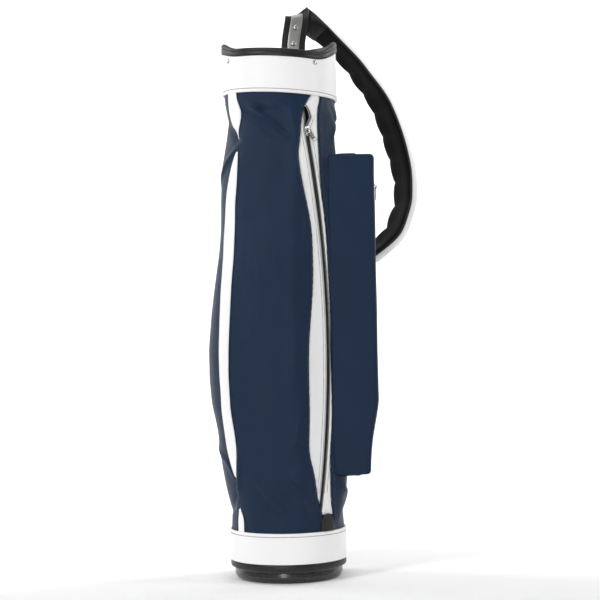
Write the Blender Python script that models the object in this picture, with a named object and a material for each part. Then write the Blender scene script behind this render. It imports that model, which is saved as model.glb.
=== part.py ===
"""Slender single-strap golf carry bag, standing upright on its base.

The origin is the centre of the base on the floor. +Z is up, -Y is the front and
+X is the side that carries the pocket and the shoulder strap. Angles round the
bag start at the front (-Y) and grow towards +X.
"""
import math

import bmesh
import bpy
from mathutils import Matrix, Vector

MM = 0.001
GAP = 0.3 * MM
UP = Vector((0.0, 0.0, 1.0))

# Fabric tube: (height, radius) of its outer face in four directions
LEFT_SIDE = ((31, 91.5), (85, 91.4), (110, 90.5), (140, 98.5), (195, 107.5), (237, 111), (292, 122),
             (372, 123.7), (440, 117), (545, 101.5), (663, 96.5), (734, 84.5), (771, 90), (800, 90))
RIGHT_SIDE = ((31, 91.5), (85, 91.4), (104, 89), (150, 98), (300, 100), (450, 100), (600, 98),
              (687, 89), (715, 88), (771, 90), (800, 90))
FRONT_SIDE = ((31, 91.5), (85, 91.4), (130, 91), (198, 93.5), (252, 95), (400, 95.5), (545, 94),
              (663, 91), (740, 88.5), (771, 90), (800, 90))
BACK_SIDE = ((31, 91.5), (85, 91.4), (150, 92), (600, 92), (771, 90), (800, 90))
TUBE_BOTTOM = 32 * MM
TUBE_TOP = 800 * MM
FABRIC = 1.5 * MM
TAPE = 0.8 * MM
LEVELS = [z * MM for z in (32, 60, 86, 104, 111.7, 135, 165, 198, 237, 280, 325, 372, 420, 470, 520, 570,
                           620, 663, 700, 722, 738, 752, 764, 771, 800)]

# Collar
COLLAR_RADIUS = 92.5 * MM
COLLAR_WALL = 2.0 * MM
COLLAR_BOTTOM = 772 * MM
COLLAR_LIFT = 2.4 * MM
COLLAR_TILT = 6.0 * MM
CUFF_TOP_FRONT = 829 * MM
CUFF_TOP_EARS = 848.5 * MM
RIM_FRONT = 842 * MM
RIM_EARS = 866.5 * MM
RIM_INNER = 83.8 * MM
RIM_OUTER = 93.3 * MM
HOOP_RADIUS = 87.8 * MM
HOOP_WALL = 3.0 * MM
EAR_RISE_RIGHT = (37, 92)
EAR_RISE_LEFT = (-92, -45)
AROUND = 48

# Divider inside the mouth
DIVIDER_ANGLES = {"left": -66, "right": 42, "rear": 166}
DIVIDER_Z = (792 * MM, 828 * MM)
DIVIDER_HUB = 13 * MM
DIVIDER_REACH = 83.6 * MM
DIVIDER_WIDTH = 14 * MM
RIVET_HEAD = 4.0 * MM
RIVET_HEIGHT = 824 * MM
RIVET_ANGLES = {"left": -61, "right": 38}

# Spine stay behind the back panel and rainwear pocket behind the long zip
STAY_HALF = 9 * MM
STAY_Y = (80 * MM, 83.4 * MM)
STAY_Z = (27 * MM, 838 * MM)
LINER_DISTANCE = 68 * MM
LINER_HALF = 52 * MM
LINER_Z = (66 * MM, 765 * MM)
LINER_WALL = 1.2 * MM

# Base
CUP_RADIUS = 87 * MM
CUP_EDGE = 10 * MM
CUP_LIP = 20 * MM
CUP_WALL_TOP = 62 * MM
CUP_SOCKET = 89.3 * MM
CUP_INNER = 87 * MM
CUP_FLOOR = 5 * MM
BAND_TOP = 31 * MM
BAND_RADIUS = 93 * MM
BASE_CUFF_TOP = 80 * MM
BASE_CUFF_RADIUS = 94 * MM
BASE_CUFF_INNER = 92 * MM

# Full-length zip: an arc in the flat strip that faces ZIP_ANGLE
ZIP_ANGLE = 40
ZIP_DISTANCE = 90 * MM
ZIP_RADIUS = 1550 * MM
ZIP_MID_Z = 380 * MM
ZIP_MID_U = 14 * MM
ZIP_Z = (111.7 * MM, 752 * MM)
CHAIN_Z = (112.5 * MM, 744 * MM)
SLIDER_REST_Z = 713 * MM
FLAT_HALF = (21, 38)
CHAIN_GAP = 0.7 * MM
CHAIN_ROW = 2.3 * MM
CHAIN_RISE = (0.3 * MM, 2.1 * MM)
END_PATCH_Z = (81.5 * MM, 108 * MM)
END_PATCH_MIDDLE = math.radians(42.6)
END_PATCH_HALF = math.radians(8.2)
END_PATCH_LIFT = 3.2 * MM
PULL_LENGTH = 17 * MM
PULL_LEAN = 28
PULL_BAR = 1.05 * MM
RING_TURN = 60
RING_HOOK = 2.15 * MM
STRIPE_EDGE = -51
STRIPE_WIDTH = 20 * MM
LEFT_SEAM = -120
REAR_SEAM = 125
FRONT_EDGE = ((31, 37), (104, 37), (112, 34), (126, 31), (164, 27), (198, 23), (252, 23.3), (368, 23.8),
              (413, 25.5), (465, 30), (504, 30.4), (541, 27.5), (583, 23.8), (634, 20.2), (676, 17.6),
              (713, 19.5), (742, 18.6), (754, 20), (764, 28), (778, 35.7), (800, 36))
TAPE_EDGE = ((111, 16), (133, 16), (160, 13), (190, 13), (233, 16), (315, 20.5), (406, 20), (494, 18.5),
             (541, 17), (573, 14.5), (640, 4.5), (713, 3), (775, 9.5), (800, 9.5))

# Side pocket
POCKET_HALF = 55 * MM
POCKET_Z = (166 * MM, 679 * MM)
POCKET_WALL = 1.6 * MM
POCKET_FACE = ((166, 134.2), (220, 137.5), (280, 147.5), (300, 148), (640, 148), (679, 149))
POCKET_ZIP_Z = (300 * MM, 640 * MM)
POCKET_ZIP_HALF = 12 * MM
POCKET_ZIP_X = 148 * MM
POCKET_SLIDER_Z = 628 * MM

# Shoulder strap: its loop stands in a vertical plane through the swing axis, but for the fold at its peak
# Route: reach from the axis, height, and how far it stands in front of the plane
STRAP_AXIS = Vector((24.5 * MM, 95.3 * MM, 0.0))
STRAP_PLANE = 20
STRAP_PATH = ((0, 867, 0), (1, 885, 0), (4, 903, 0), (7, 918, -0.5), (9.5, 930, -3), (12.5, 934.5, -9),
              (17, 932, -15), (26, 927, -18), (38, 920, -18.5), (54, 908.5, -18), (82, 885, -16), (108, 860, -13),
              (126, 837, -10), (164, 779, -4), (196, 680, 0), (200.5, 623, 0), (192.5, 592, 0), (177, 560.6, 0),
              (148, 534, 0), (104, 496, 0), (60, 462, 0), (24, 435, 0))
# Distance along it, and the slope of its width in that plane, then how far it turns out of the plane's normal
STRAP_SLOPE = ((0, -5), (36, -5), (50, 9), (62, 26), (70, 34), (84, 42), (100, 47), (150, 46), (200, 36), (280, 18),
               (340, 8), (400, 0), (440, -12), (465, -28), (500, -42), (560, -49), (720, -53))
STRAP_TWIST = ((0, 72), (50, 78), (70, 84), (90, 70), (112, 46), (145, 26), (190, 15), (360, 14), (450, 4),
               (585, 0), (645, -45), (695, -90), (730, -90))
ROOT_END = 122 * MM
STAY_END = 66 * MM
COVER_START = 124 * MM
PAD_END = 592 * MM
PAD_WIDTH = ((0, 40), (122, 38), (200, 43), (290, 50), (550, 55), (592, 44), (720, 38))
ROOT_WIDTH = 40 * MM
STAY_WIDTH = 19.5 * MM
WEBBING_WIDTH = 38 * MM
ROOT_LAYER = (-6 * MM, -0.6 * MM)
STAY_LAYER = (0.6 * MM, 1.8 * MM)
COVER_LAYER = (0.9 * MM, 11.5 * MM)
PAD_LAYER = (-8 * MM, -0.9 * MM)
WEBBING_LAYER = (-1.5 * MM, 1.5 * MM)
STRAP_RIVETS_Z = (882 * MM, 906 * MM)
ANCHOR_HALF = 20 * MM
ANCHOR_Z = (782 * MM, 865.5 * MM)
ANCHOR_THICK = 6 * MM
ANCHOR_RIVETS_Z = (796 * MM, 826 * MM)
CHAPE_HALF = 5 * MM
CHAPE_DEPTH = (-3.3 * MM, 4.6 * MM)
CHAPE_Z = (408 * MM, 428 * MM)
CHAPE_PATCH_Z = (392 * MM, 444 * MM)
CHAPE_PATCH_HALF = math.radians(11)
DRING_CENTRE_Z = 418 * MM
DRING_HALF = 18 * MM
DRING_REACH = 20 * MM
DRING_WIRE = 2.0 * MM


class Curve:
    """Smooth curve through (position, value) knots, level beyond its ends."""

    def __init__(self, knots, scale=MM):
        self.at = [k[0] * MM for k in knots]
        self.values = [k[1] * scale for k in knots]
        last = len(knots) - 1
        self.slopes = []
        for i in range(last + 1):
            low, high = max(i - 1, 0), min(i + 1, last)
            rise = self.values[high] - self.values[low]
            self.slopes.append(rise / (self.at[high] - self.at[low]))
        self.slopes[0] = self.slopes[last] = 0.0

    def __call__(self, position):
        if position <= self.at[0]:
            return self.values[0]
        if position >= self.at[-1]:
            return self.values[-1]
        i = max(k for k, start in enumerate(self.at) if start <= position)
        span = self.at[i + 1] - self.at[i]
        t = (position - self.at[i]) / span
        ends = (2 * t**3 - 3 * t**2 + 1) * self.values[i] + (3 * t**2 - 2 * t**3) * self.values[i + 1]
        return ends + span * ((t**3 - 2 * t**2 + t) * self.slopes[i] + (t**3 - t**2) * self.slopes[i + 1])


left_side = Curve(LEFT_SIDE)
right_side = Curve(RIGHT_SIDE)
front_side = Curve(FRONT_SIDE)
back_side = Curve(BACK_SIDE)
front_edge = Curve(FRONT_EDGE, math.radians(1))
tape_edge_u = Curve(TAPE_EDGE)
pocket_face = Curve(POCKET_FACE)
pad_width = Curve(PAD_WIDTH)
strap_slope = Curve(STRAP_SLOPE, math.radians(1))
strap_twist = Curve(STRAP_TWIST, math.radians(1))


# ---------------------------------------------------------------- geometry of the bag
def ease(low, high, value):
    t = min(max((value - low) / (high - low), 0.0), 1.0)
    return t * t * (3 - 2 * t)


def around(angle, radius, z):
    return Vector((radius * math.sin(angle), -radius * math.cos(angle), z))


def body_radius(angle, z):
    """Outer radius of the fabric tube, with a flat strip where the long zip runs."""
    angle = math.remainder(angle, math.tau)
    side = left_side if angle < 0 else right_side
    end = front_side if abs(angle) < math.pi / 2 else back_side
    share = math.sin(angle) ** 2
    radius = end(z) * (1 - share) + side(z) * share
    off = abs(angle - math.radians(ZIP_ANGLE))
    inner, outer = (math.radians(a) for a in FLAT_HALF)
    if off < outer:
        flat = 1 - ease(inner, outer, off)
        flat *= ease(88 * MM, 111 * MM, z) * (1 - ease(750 * MM, 764 * MM, z))
        radius = radius * (1 - flat) + flat * ZIP_DISTANCE / math.cos(off)
    return radius


def zip_u(z):
    """Distance of the zip from the middle line of its flat strip."""
    return ZIP_MID_U - ZIP_RADIUS + math.sqrt(ZIP_RADIUS**2 - (z - ZIP_MID_Z) ** 2)


def strip_angle(u):
    return math.radians(ZIP_ANGLE) + math.atan2(u, ZIP_DISTANCE)


def zip_angle(z):
    return strip_angle(zip_u(z))


def rear_of_zip(z):
    """Angle where the right-hand fabric starts, at the edge of the zip's right tape."""
    if z < ZIP_Z[0] - 4 * MM:
        return front_edge(z)
    return strip_angle(tape_edge_u(z))


def stripe_start(z):
    edge = math.radians(STRIPE_EDGE)
    return edge - STRIPE_WIDTH / body_radius(edge, z)


def surface_x(y, z):
    """x where the outer face of the right side crosses the given y."""
    low, high = 0.0, math.pi
    for _ in range(40):
        middle = (low + high) / 2
        if -body_radius(middle, z) * math.cos(middle) < y:
            low = middle
        else:
            high = middle
    return body_radius(low, z) * math.sin(low)


def rim_rise(angle):
    """0 in the low front of the collar, 1 on the high ears at the sides and back."""
    degrees = math.degrees(math.remainder(angle, math.tau))
    return max(ease(*EAR_RISE_RIGHT, degrees), 1 - ease(*EAR_RISE_LEFT, degrees))


def collar_lift(angle):
    """The collar sits a little askew: higher on the left than on the right."""
    return COLLAR_LIFT - COLLAR_TILT * math.sin(angle)


def collar_level(angle, front, ears):
    """Height of an edge of the collar that runs low in front and high over the ears."""
    rise = rim_rise(angle)
    return (front + collar_lift(angle)) * (1 - rise) + ears * rise


def strap_stations(count=104):
    """Points along the strap's loop: distance, position, across, along, outwards."""
    plane = Vector((math.cos(math.radians(STRAP_PLANE)), math.sin(math.radians(STRAP_PLANE)), 0.0))
    side = Vector((plane.y, -plane.x, 0.0))
    travel = [0.0]
    for here, there in zip(STRAP_PATH, STRAP_PATH[1:]):
        travel.append(travel[-1] + math.dist(here, there))
    reach, height, front = (Curve(list(zip(travel, (p[k] for p in STRAP_PATH)))) for k in range(3))
    height.slopes[0] = 1.0
    last = travel[-1] - travel[-2]
    reach.slopes[-1] = (STRAP_PATH[-1][0] - STRAP_PATH[-2][0]) / last
    height.slopes[-1] = (STRAP_PATH[-1][1] - STRAP_PATH[-2][1]) / last

    def place(s):
        return STRAP_AXIS + plane * reach(s) + UP * height(s) + side * front(s)

    stations = []
    step = 0.5 * MM
    for i in range(count + 1):
        s = travel[-1] * MM * i / count
        along = (place(min(s + step, travel[-1] * MM)) - place(max(s - step, 0.0))).normalized()
        slope, twist = strap_slope(s), strap_twist(s)
        width = side * math.cos(twist) + (plane * math.cos(slope) + UP * math.sin(slope)) * math.sin(twist)
        across = (width - along * width.dot(along)).normalized()
        stations.append((s, place(s), across, along, across.cross(along)))
    return stations


# ---------------------------------------------------------------- building helpers
def clear_scene():
    for obj in list(bpy.data.objects):
        bpy.data.objects.remove(obj, do_unlink=True)


def make_material(name, colour, roughness, metallic=0.0):
    mat = bpy.data.materials.new(name)
    mat.use_nodes = True
    shader = mat.node_tree.nodes["Principled BSDF"]
    shader.inputs["Base Color"].default_value = (*colour, 1.0)
    shader.inputs["Roughness"].default_value = roughness
    shader.inputs["Metallic"].default_value = metallic
    mat.diffuse_color = (*colour, 1.0)
    return mat


def add_object(name, bm, mat, world=None, parent=None):
    mesh = bpy.data.meshes.new(name)
    bm.to_mesh(mesh)
    bm.free()
    mesh.materials.append(mat)
    mesh.shade_smooth()
    mesh.set_sharp_from_angle(angle=math.radians(40))
    obj = bpy.data.objects.new(name, mesh)
    bpy.context.scene.collection.objects.link(obj)
    world = world or Matrix.Identity(4)
    if parent:
        obj.parent = parent
        obj.matrix_basis = parent.matrix_basis.inverted() @ world
    else:
        obj.matrix_basis = world
    return obj


def loft(name, sections, mat, ring=False, world=None, parent=None):
    """Solid through a row of closed sections that all have the same number of points."""
    bm = bmesh.new()
    loops = [[bm.verts.new(point) for point in section] for section in sections]
    count = len(loops[0])
    pairs = list(zip(loops, loops[1:]))
    if ring:
        pairs.append((loops[-1], loops[0]))
    for first, second in pairs:
        for i in range(count):
            j = (i + 1) % count
            bm.faces.new((first[i], first[j], second[j], second[i]))
    if not ring:
        bm.faces.new(loops[0])
        bm.faces.new(loops[-1])
    bmesh.ops.recalc_face_normals(bm, faces=bm.faces)
    return add_object(name, bm, mat, world, parent)


def sheet(name, rows, thickness, mat, ring=False):
    """Sheet through rows of points, thickened towards the inside of the bag."""
    bm = bmesh.new()
    grid = [[bm.verts.new(point) for point in row] for row in rows]
    for low, high in zip(grid, grid[1:]):
        cells = list(zip(low, low[1:], high[1:], high))
        if ring:
            cells.append((low[-1], low[0], high[0], high[-1]))
        for corners in cells:
            bm.faces.new(corners)
    obj = add_object(name, bm, mat)
    solid = obj.modifiers.new("thickness", "SOLIDIFY")
    solid.thickness = thickness
    solid.offset = -1.0
    return obj


def panel(name, start, end, columns, mat, z_range=(TUBE_BOTTOM, TUBE_TOP), thickness=FABRIC, lift=0.0):
    """Fabric panel between two angles, each a function of height."""
    inside = [z for z in LEVELS if z_range[0] + 1 * MM < z < z_range[1] - 1 * MM]
    rows = []
    for z in [z_range[0], *inside, z_range[1]]:
        low = start(z) + GAP / ZIP_DISTANCE
        high = end(z) - GAP / ZIP_DISTANCE
        angles = [low + (high - low) * i / columns for i in range(columns + 1)]
        rows.append([around(a, body_radius(a, z) + lift, z) for a in angles])
    return sheet(name, rows, thickness, mat)


def box(name, low, high, mat, world=None, parent=None):
    corners = ((low[0], low[1]), (high[0], low[1]), (high[0], high[1]), (low[0], high[1]))
    return loft(name, [[Vector((x, y, z)) for x, y in corners] for z in (low[2], high[2])], mat,
                world=world, parent=parent)


def turned(name, profile, mat, steps=AROUND, centre=(0.0, 0.0)):
    """Closed profile of (radius, height) points, turned round a vertical line."""
    sections = []
    for i in range(steps):
        angle = math.tau * i / steps
        x, y = math.cos(angle), math.sin(angle)
        sections.append([Vector((centre[0] + r * x, centre[1] + r * y, z)) for r, z in profile])
    return loft(name, sections, mat, ring=True)


def disc(name, radius, low, high, mat, centre=(0.0, 0.0), steps=AROUND):
    rings = []
    for z in (low, high):
        rings.append([Vector((centre[0] + radius * math.cos(math.tau * i / steps),
                              centre[1] + radius * math.sin(math.tau * i / steps), z)) for i in range(steps)])
    return loft(name, rings, mat)


def domed_head(name, world, radius, height, mat, parent=None, steps=14):
    """Rivet head on the local XY plane, domed along local +Z."""
    rings = []
    for share, level in ((1.0, 0.0), (1.0, 0.35), (0.8, 0.8), (0.45, 1.0)):
        rings.append([Vector((share * radius * math.cos(math.tau * i / steps),
                              share * radius * math.sin(math.tau * i / steps), level * height))
                      for i in range(steps)])
    return loft(name, rings, mat, world=world, parent=parent)


def pivot(name, world):
    empty = bpy.data.objects.new(name, None)
    bpy.context.scene.collection.objects.link(empty)
    empty.matrix_basis = world
    return empty


def frame(origin, x_axis, y_axis, z_axis):
    rotation = Matrix((x_axis, y_axis, z_axis)).transposed().to_4x4()
    return Matrix.Translation(origin) @ rotation


# ---------------------------------------------------------------- materials
clear_scene()
NAVY = make_material("navy_nylon", (0.018, 0.033, 0.062), 0.75)
WHITE = make_material("white_vinyl", (0.86, 0.86, 0.85), 0.45)
BLACK = make_material("black_vinyl", (0.02, 0.02, 0.021), 0.5)
MOULDED = make_material("black_moulding", (0.014, 0.014, 0.015), 0.22)
RUBBER = make_material("black_pad", (0.013, 0.013, 0.014), 0.6)
WEBBING = make_material("black_webbing", (0.012, 0.012, 0.013), 0.7)
LINING = make_material("grey_lining", (0.09, 0.09, 0.095), 0.8)
TEETH = make_material("zip_coil", (0.02, 0.021, 0.021), 0.4)
NICKEL = make_material("nickel", (0.55, 0.55, 0.54), 0.25, 1.0)
BRONZE = make_material("dark_bronze", (0.11, 0.11, 0.09), 0.35, 1.0)
STEEL = make_material("grey_stay", (0.42, 0.42, 0.42), 0.35, 1.0)


# ---------------------------------------------------------------- base
def build_base():
    edge_centre = CUP_RADIUS - CUP_EDGE
    outside = []
    for i in range(5):
        turn = math.radians(90 * i / 4)
        outside.append((edge_centre + CUP_EDGE * math.sin(turn), CUP_EDGE * (1 - math.cos(turn))))
    inside = [(CUP_RADIUS, CUP_LIP), (CUP_SOCKET, CUP_LIP), (CUP_SOCKET, CUP_WALL_TOP), (CUP_INNER, CUP_WALL_TOP),
              (CUP_INNER, CUP_LIP + 5 * MM), (CUP_INNER - 4 * MM, CUP_LIP), (CUP_INNER - 5 * MM, CUP_FLOOR)]
    bm = bmesh.new()
    rings = []
    for radius, z in outside + inside:
        rings.append([bm.verts.new((radius * math.cos(math.tau * i / AROUND),
                                    radius * math.sin(math.tau * i / AROUND), z)) for i in range(AROUND)])
    for low, high in zip(rings, rings[1:]):
        for i in range(AROUND):
            j = (i + 1) % AROUND
            bm.faces.new((low[i], low[j], high[j], high[i]))
    bm.faces.new(rings[0])
    bm.faces.new(rings[-1])
    bmesh.ops.recalc_face_normals(bm, faces=bm.faces)
    add_object("base_cup", bm, MOULDED)
    disc("base_floor_pad", CUP_INNER - 6 * MM, CUP_FLOOR + GAP, CUP_FLOOR + 3 * MM, LINING)
    band_inner = CUP_SOCKET + GAP
    turned("base_band", [(band_inner, CUP_LIP + GAP), (BAND_RADIUS - 1 * MM, CUP_LIP + GAP),
                         (BAND_RADIUS, CUP_LIP + 3 * MM), (BAND_RADIUS, BAND_TOP - 3 * MM),
                         (BAND_RADIUS - 1 * MM, BAND_TOP), (band_inner, BAND_TOP)], BLACK)
    turned("base_cuff", [(BASE_CUFF_INNER, BAND_TOP + GAP), (BASE_CUFF_RADIUS, BAND_TOP + GAP),
                         (BASE_CUFF_RADIUS, BASE_CUFF_TOP), (BASE_CUFF_INNER, BASE_CUFF_TOP)], WHITE)


# ---------------------------------------------------------------- fabric tube
def build_tube():
    def stripe_end(z):
        return math.radians(STRIPE_EDGE)

    def left_seam(z):
        return math.radians(LEFT_SEAM)

    def rear_seam(z):
        return math.radians(REAR_SEAM)

    def left_seam_from_behind(z):
        return math.radians(LEFT_SEAM + 360)

    panel("left_panel", left_seam, stripe_start, 5, NAVY)
    panel("white_stripe", stripe_start, stripe_end, 2, WHITE)
    panel("front_panel", stripe_end, front_edge, 9, NAVY)
    panel("right_panel", rear_of_zip, rear_seam, 7, NAVY)
    panel("back_panel", rear_seam, left_seam_from_behind, 10, NAVY)


def build_long_zip():
    gap = CHAIN_GAP / ZIP_DISTANCE

    def right_tape_start(z):
        return max(zip_angle(z) + gap, front_edge(z))

    panel("zip_tape_left", front_edge, lambda z: zip_angle(z) - gap, 2, WHITE, ZIP_Z, TAPE)
    panel("zip_tape_right", right_tape_start, rear_of_zip, 2, WHITE, (ZIP_Z[0], TUBE_TOP), TAPE)
    outward, sideways = zip_axes()
    centre = zip_centre()
    for name, side in (("zip_chain_left", -1), ("zip_chain_right", 1)):
        sections = []
        for i in range(17):
            z = CHAIN_Z[0] + (CHAIN_Z[1] - CHAIN_Z[0]) * i / 16
            turn = math.asin((z - ZIP_MID_Z) / ZIP_RADIUS)
            radial = sideways * math.cos(turn) + UP * math.sin(turn)
            near = ZIP_RADIUS + side * (CHAIN_GAP + 0.1 * MM)
            far = near + side * CHAIN_ROW
            low, high = CHAIN_RISE
            sections.append([centre + radial * r + outward * rise
                             for r, rise in ((near, low), (far, low), (far, high), (near, high))])
        loft(name, sections, TEETH)


def zip_axes():
    angle = math.radians(ZIP_ANGLE)
    return around(angle, 1.0, 0.0), Vector((math.cos(angle), math.sin(angle), 0.0))


def zip_centre():
    """Centre of the long zip's arc, on the face of its tape."""
    outward, sideways = zip_axes()
    return outward * ZIP_DISTANCE + sideways * (ZIP_MID_U - ZIP_RADIUS) + UP * ZIP_MID_Z


def build_end_patch():
    """Half-round reinforcement over the bottom end of the zip."""
    bottom, top = END_PATCH_Z
    rows = []
    for i in range(7):
        share = i / 6
        z = bottom + (top - bottom) * share
        width = END_PATCH_HALF * math.sqrt(max(1 - share**3, 0.04))
        angles = [END_PATCH_MIDDLE - width + 2 * width * k / 4 for k in range(5)]
        rows.append([around(a, body_radius(a, z) + END_PATCH_LIFT, z) for a in angles])
    sheet("zip_end_patch", rows, 1.0 * MM, BLACK)


# ---------------------------------------------------------------- zip sliders and pulls
def build_slider(name, world, tape, parent=None):
    """Slider in its local frame: X across the zip, Y along it, Z out of the tape face."""
    half_wide, half_long = 4.0 * MM, 7.0 * MM
    deck = CHAIN_RISE[1] + 0.4 * MM
    deck_top = deck + 1.4 * MM
    under = -tape - 0.5 * MM
    keel = 0.35 * MM
    bm = bmesh.new()

    def block(low, high):
        matrix = Matrix.Translation([(a + b) / 2 for a, b in zip(low, high)])
        size = Matrix.Diagonal([b - a for a, b in zip(low, high)]).to_4x4()
        bmesh.ops.create_cube(bm, size=1.0, matrix=matrix @ size)

    block((-half_wide, -half_long, deck), (half_wide, half_long, deck_top))
    obj = add_object(name, bm, NICKEL, world, parent)
    post_foot = under - 0.3 * MM
    unions = (
        ((-keel, 2 * MM, post_foot), (keel, 5 * MM, deck + 0.5 * MM)),
        ((-0.8 * half_wide, -half_long, under - 1.2 * MM), (0.8 * half_wide, half_long, under)),
        ((-0.8 * MM, 3.6 * MM, deck_top - 0.4 * MM), (0.8 * MM, 5.0 * MM, deck_top + 3.6 * MM)),
        ((-0.8 * MM, -2.2 * MM, deck_top - 0.4 * MM), (0.8 * MM, -0.8 * MM, deck_top + 3.6 * MM)),
        ((-0.8 * MM, -2.2 * MM, deck_top + 2.6 * MM), (0.8 * MM, 5.0 * MM, deck_top + 3.9 * MM)),
    )
    for i, (low, high) in enumerate(unions):
        cutter = box(f"{name}_piece_{i}", low, high, NICKEL, world, parent)
        cutter.hide_render = True
        cutter.display_type = "WIRE"
        union = obj.modifiers.new(f"join_{i}", "BOOLEAN")
        union.operation = "UNION"
        union.object = cutter
    return deck_top


def build_pull(name, world, length, mat, parent=None):
    """Flat pull in its local frame: its bar on local X, hanging along local -Y to an eyelet."""
    bar, arm = 0.7 * MM, 1.1 * MM
    half = 4.0 * MM
    window_end = -5.6 * MM
    eyelet = (-length + 4.6 * MM, -length + 2 * PULL_BAR)
    rows = [bar, -bar, window_end, *eyelet, -length]
    widths = [half, half, half, half - 0.8 * MM, half - 1.0 * MM, half - 1.8 * MM]
    bm = bmesh.new()
    grid = []
    for y, width in zip(rows, widths):
        grid.append([bm.verts.new((x, y, -0.6 * MM)) for x in (-width, -width + arm, width - arm, width)])
    for i, (upper, lower) in enumerate(zip(grid, grid[1:])):
        for j in range(3):
            hole = i in (1, 3) and j == 1
            if not hole:
                bm.faces.new((upper[j], lower[j], lower[j + 1], upper[j + 1]))
    obj = add_object(name, bm, mat, world, parent)
    solid = obj.modifiers.new("thickness", "SOLIDIFY")
    solid.thickness = 1.2 * MM
    solid.offset = 1.0
    return obj


def build_ring(name, world, radius, wire, mat):
    """Ring round its local Z axis, hanging from a bar along its local X axis."""
    sections = []
    for i in range(20):
        turn = math.tau * i / 20
        spoke = Vector((math.cos(turn), math.sin(turn), 0.0))
        middle = spoke * radius - Vector((0.0, radius - RING_HOOK, 0.0))
        sections.append([middle + spoke * wire * math.cos(a) + UP * wire * math.sin(a)
                         for a in (math.tau * k / 6 for k in range(6))])
    return loft(name, sections, mat, ring=True, world=world)


def build_long_zip_slider():
    outward, sideways = zip_axes()
    turn = math.asin((SLIDER_REST_Z - ZIP_MID_Z) / ZIP_RADIUS)
    across = sideways * math.cos(turn) + UP * math.sin(turn)
    along = UP * math.cos(turn) - sideways * math.sin(turn)
    place = zip_centre() + across * ZIP_RADIUS
    arc_pivot = pivot("main_slider_axis", Matrix.Translation(zip_centre()))
    deck_top = build_slider("main_slider", frame(place, across, along, outward), TAPE, arc_pivot)
    pull_place = place + outward * (deck_top + 1.6 * MM) + along * 1.4 * MM
    lean = Matrix.Rotation(math.radians(PULL_LEAN), 4, "Z")
    pull_world = frame(pull_place, across, along, outward) @ lean
    build_pull("main_pull", pull_world, PULL_LENGTH, BRONZE)
    hang = Matrix.Translation((0.0, PULL_BAR - PULL_LENGTH, 0.0))
    hang = hang @ Matrix.Rotation(math.radians(-RING_TURN), 4, "Y")
    build_ring("main_pull_ring", pull_world @ hang, 3.8 * MM, 0.55 * MM, NICKEL)


# ---------------------------------------------------------------- collar, divider, stay
def wavy_ring(name, radius, wall, low, mat):
    """Upright ring that follows the askew collar, from its hem to the wavy edge of the cuff."""
    rows = []
    for share in (0.0, 0.5, 1.0):
        row = []
        for i in range(AROUND):
            angle = math.tau * i / AROUND
            foot = low + collar_lift(angle)
            top = collar_level(angle, CUFF_TOP_FRONT, CUFF_TOP_EARS)
            row.append(around(angle, radius, foot + (top - foot) * share))
        rows.append(row)
    return sheet(name, rows, wall, mat, ring=True)


def build_collar():
    wavy_ring("collar_cuff", COLLAR_RADIUS, COLLAR_WALL, COLLAR_BOTTOM, WHITE)
    wavy_ring("collar_hoop", HOOP_RADIUS, HOOP_WALL, COLLAR_BOTTOM + GAP, LINING)
    sections = []
    for i in range(AROUND):
        angle = math.tau * i / AROUND
        low = collar_level(angle, CUFF_TOP_FRONT, CUFF_TOP_EARS) + GAP
        high = collar_level(angle, RIM_FRONT, RIM_EARS)
        crown = high - 3.5 * MM
        profile = ((RIM_INNER + 0.8 * MM, low), (RIM_OUTER - 0.6 * MM, low), (RIM_OUTER, low + 3 * MM),
                   (RIM_OUTER - 0.4 * MM, crown), (RIM_OUTER - 3 * MM, high),
                   (RIM_INNER + 3 * MM, high), (RIM_INNER + 0.4 * MM, crown), (RIM_INNER, low + 3 * MM))
        sections.append([around(angle, r, z) for r, z in profile])
    loft("rim_trim", sections, BLACK, ring=True)
    for side, degrees in RIVET_ANGLES.items():
        angle = math.radians(degrees)
        outward = around(angle, 1.0, 0.0)
        sideways = UP.cross(outward)
        place = outward * (COLLAR_RADIUS + GAP) + UP * (RIVET_HEIGHT + collar_lift(angle))
        domed_head(f"collar_rivet_{side}", frame(place, sideways, UP, outward), RIVET_HEAD, 1.8 * MM, NICKEL)


def build_divider():
    disc("divider_hub", DIVIDER_HUB, *DIVIDER_Z, LINING, steps=18)
    for side, degrees in DIVIDER_ANGLES.items():
        angle = math.radians(degrees)
        along = around(angle, 1.0, 0.0)
        world = frame(Vector((0.0, 0.0, 0.0)), UP.cross(along), along, UP * -1)
        half = DIVIDER_WIDTH / 2
        box(f"divider_arm_{side}", (-half, DIVIDER_HUB + 2 * MM, -DIVIDER_Z[1]),
            (half, DIVIDER_REACH, -DIVIDER_Z[0]), LINING, world)


def build_stiffening():
    box("spine_stay", (-STAY_HALF, STAY_Y[0], STAY_Z[0]), (STAY_HALF, STAY_Y[1], STAY_Z[1]), LINING)
    outward, sideways = zip_axes()
    world = frame(outward * LINER_DISTANCE, sideways, UP, outward)
    box("apparel_pocket_liner", (-LINER_HALF, LINER_Z[0], -LINER_WALL), (LINER_HALF, LINER_Z[1], 0.0),
        LINING, world)


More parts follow.
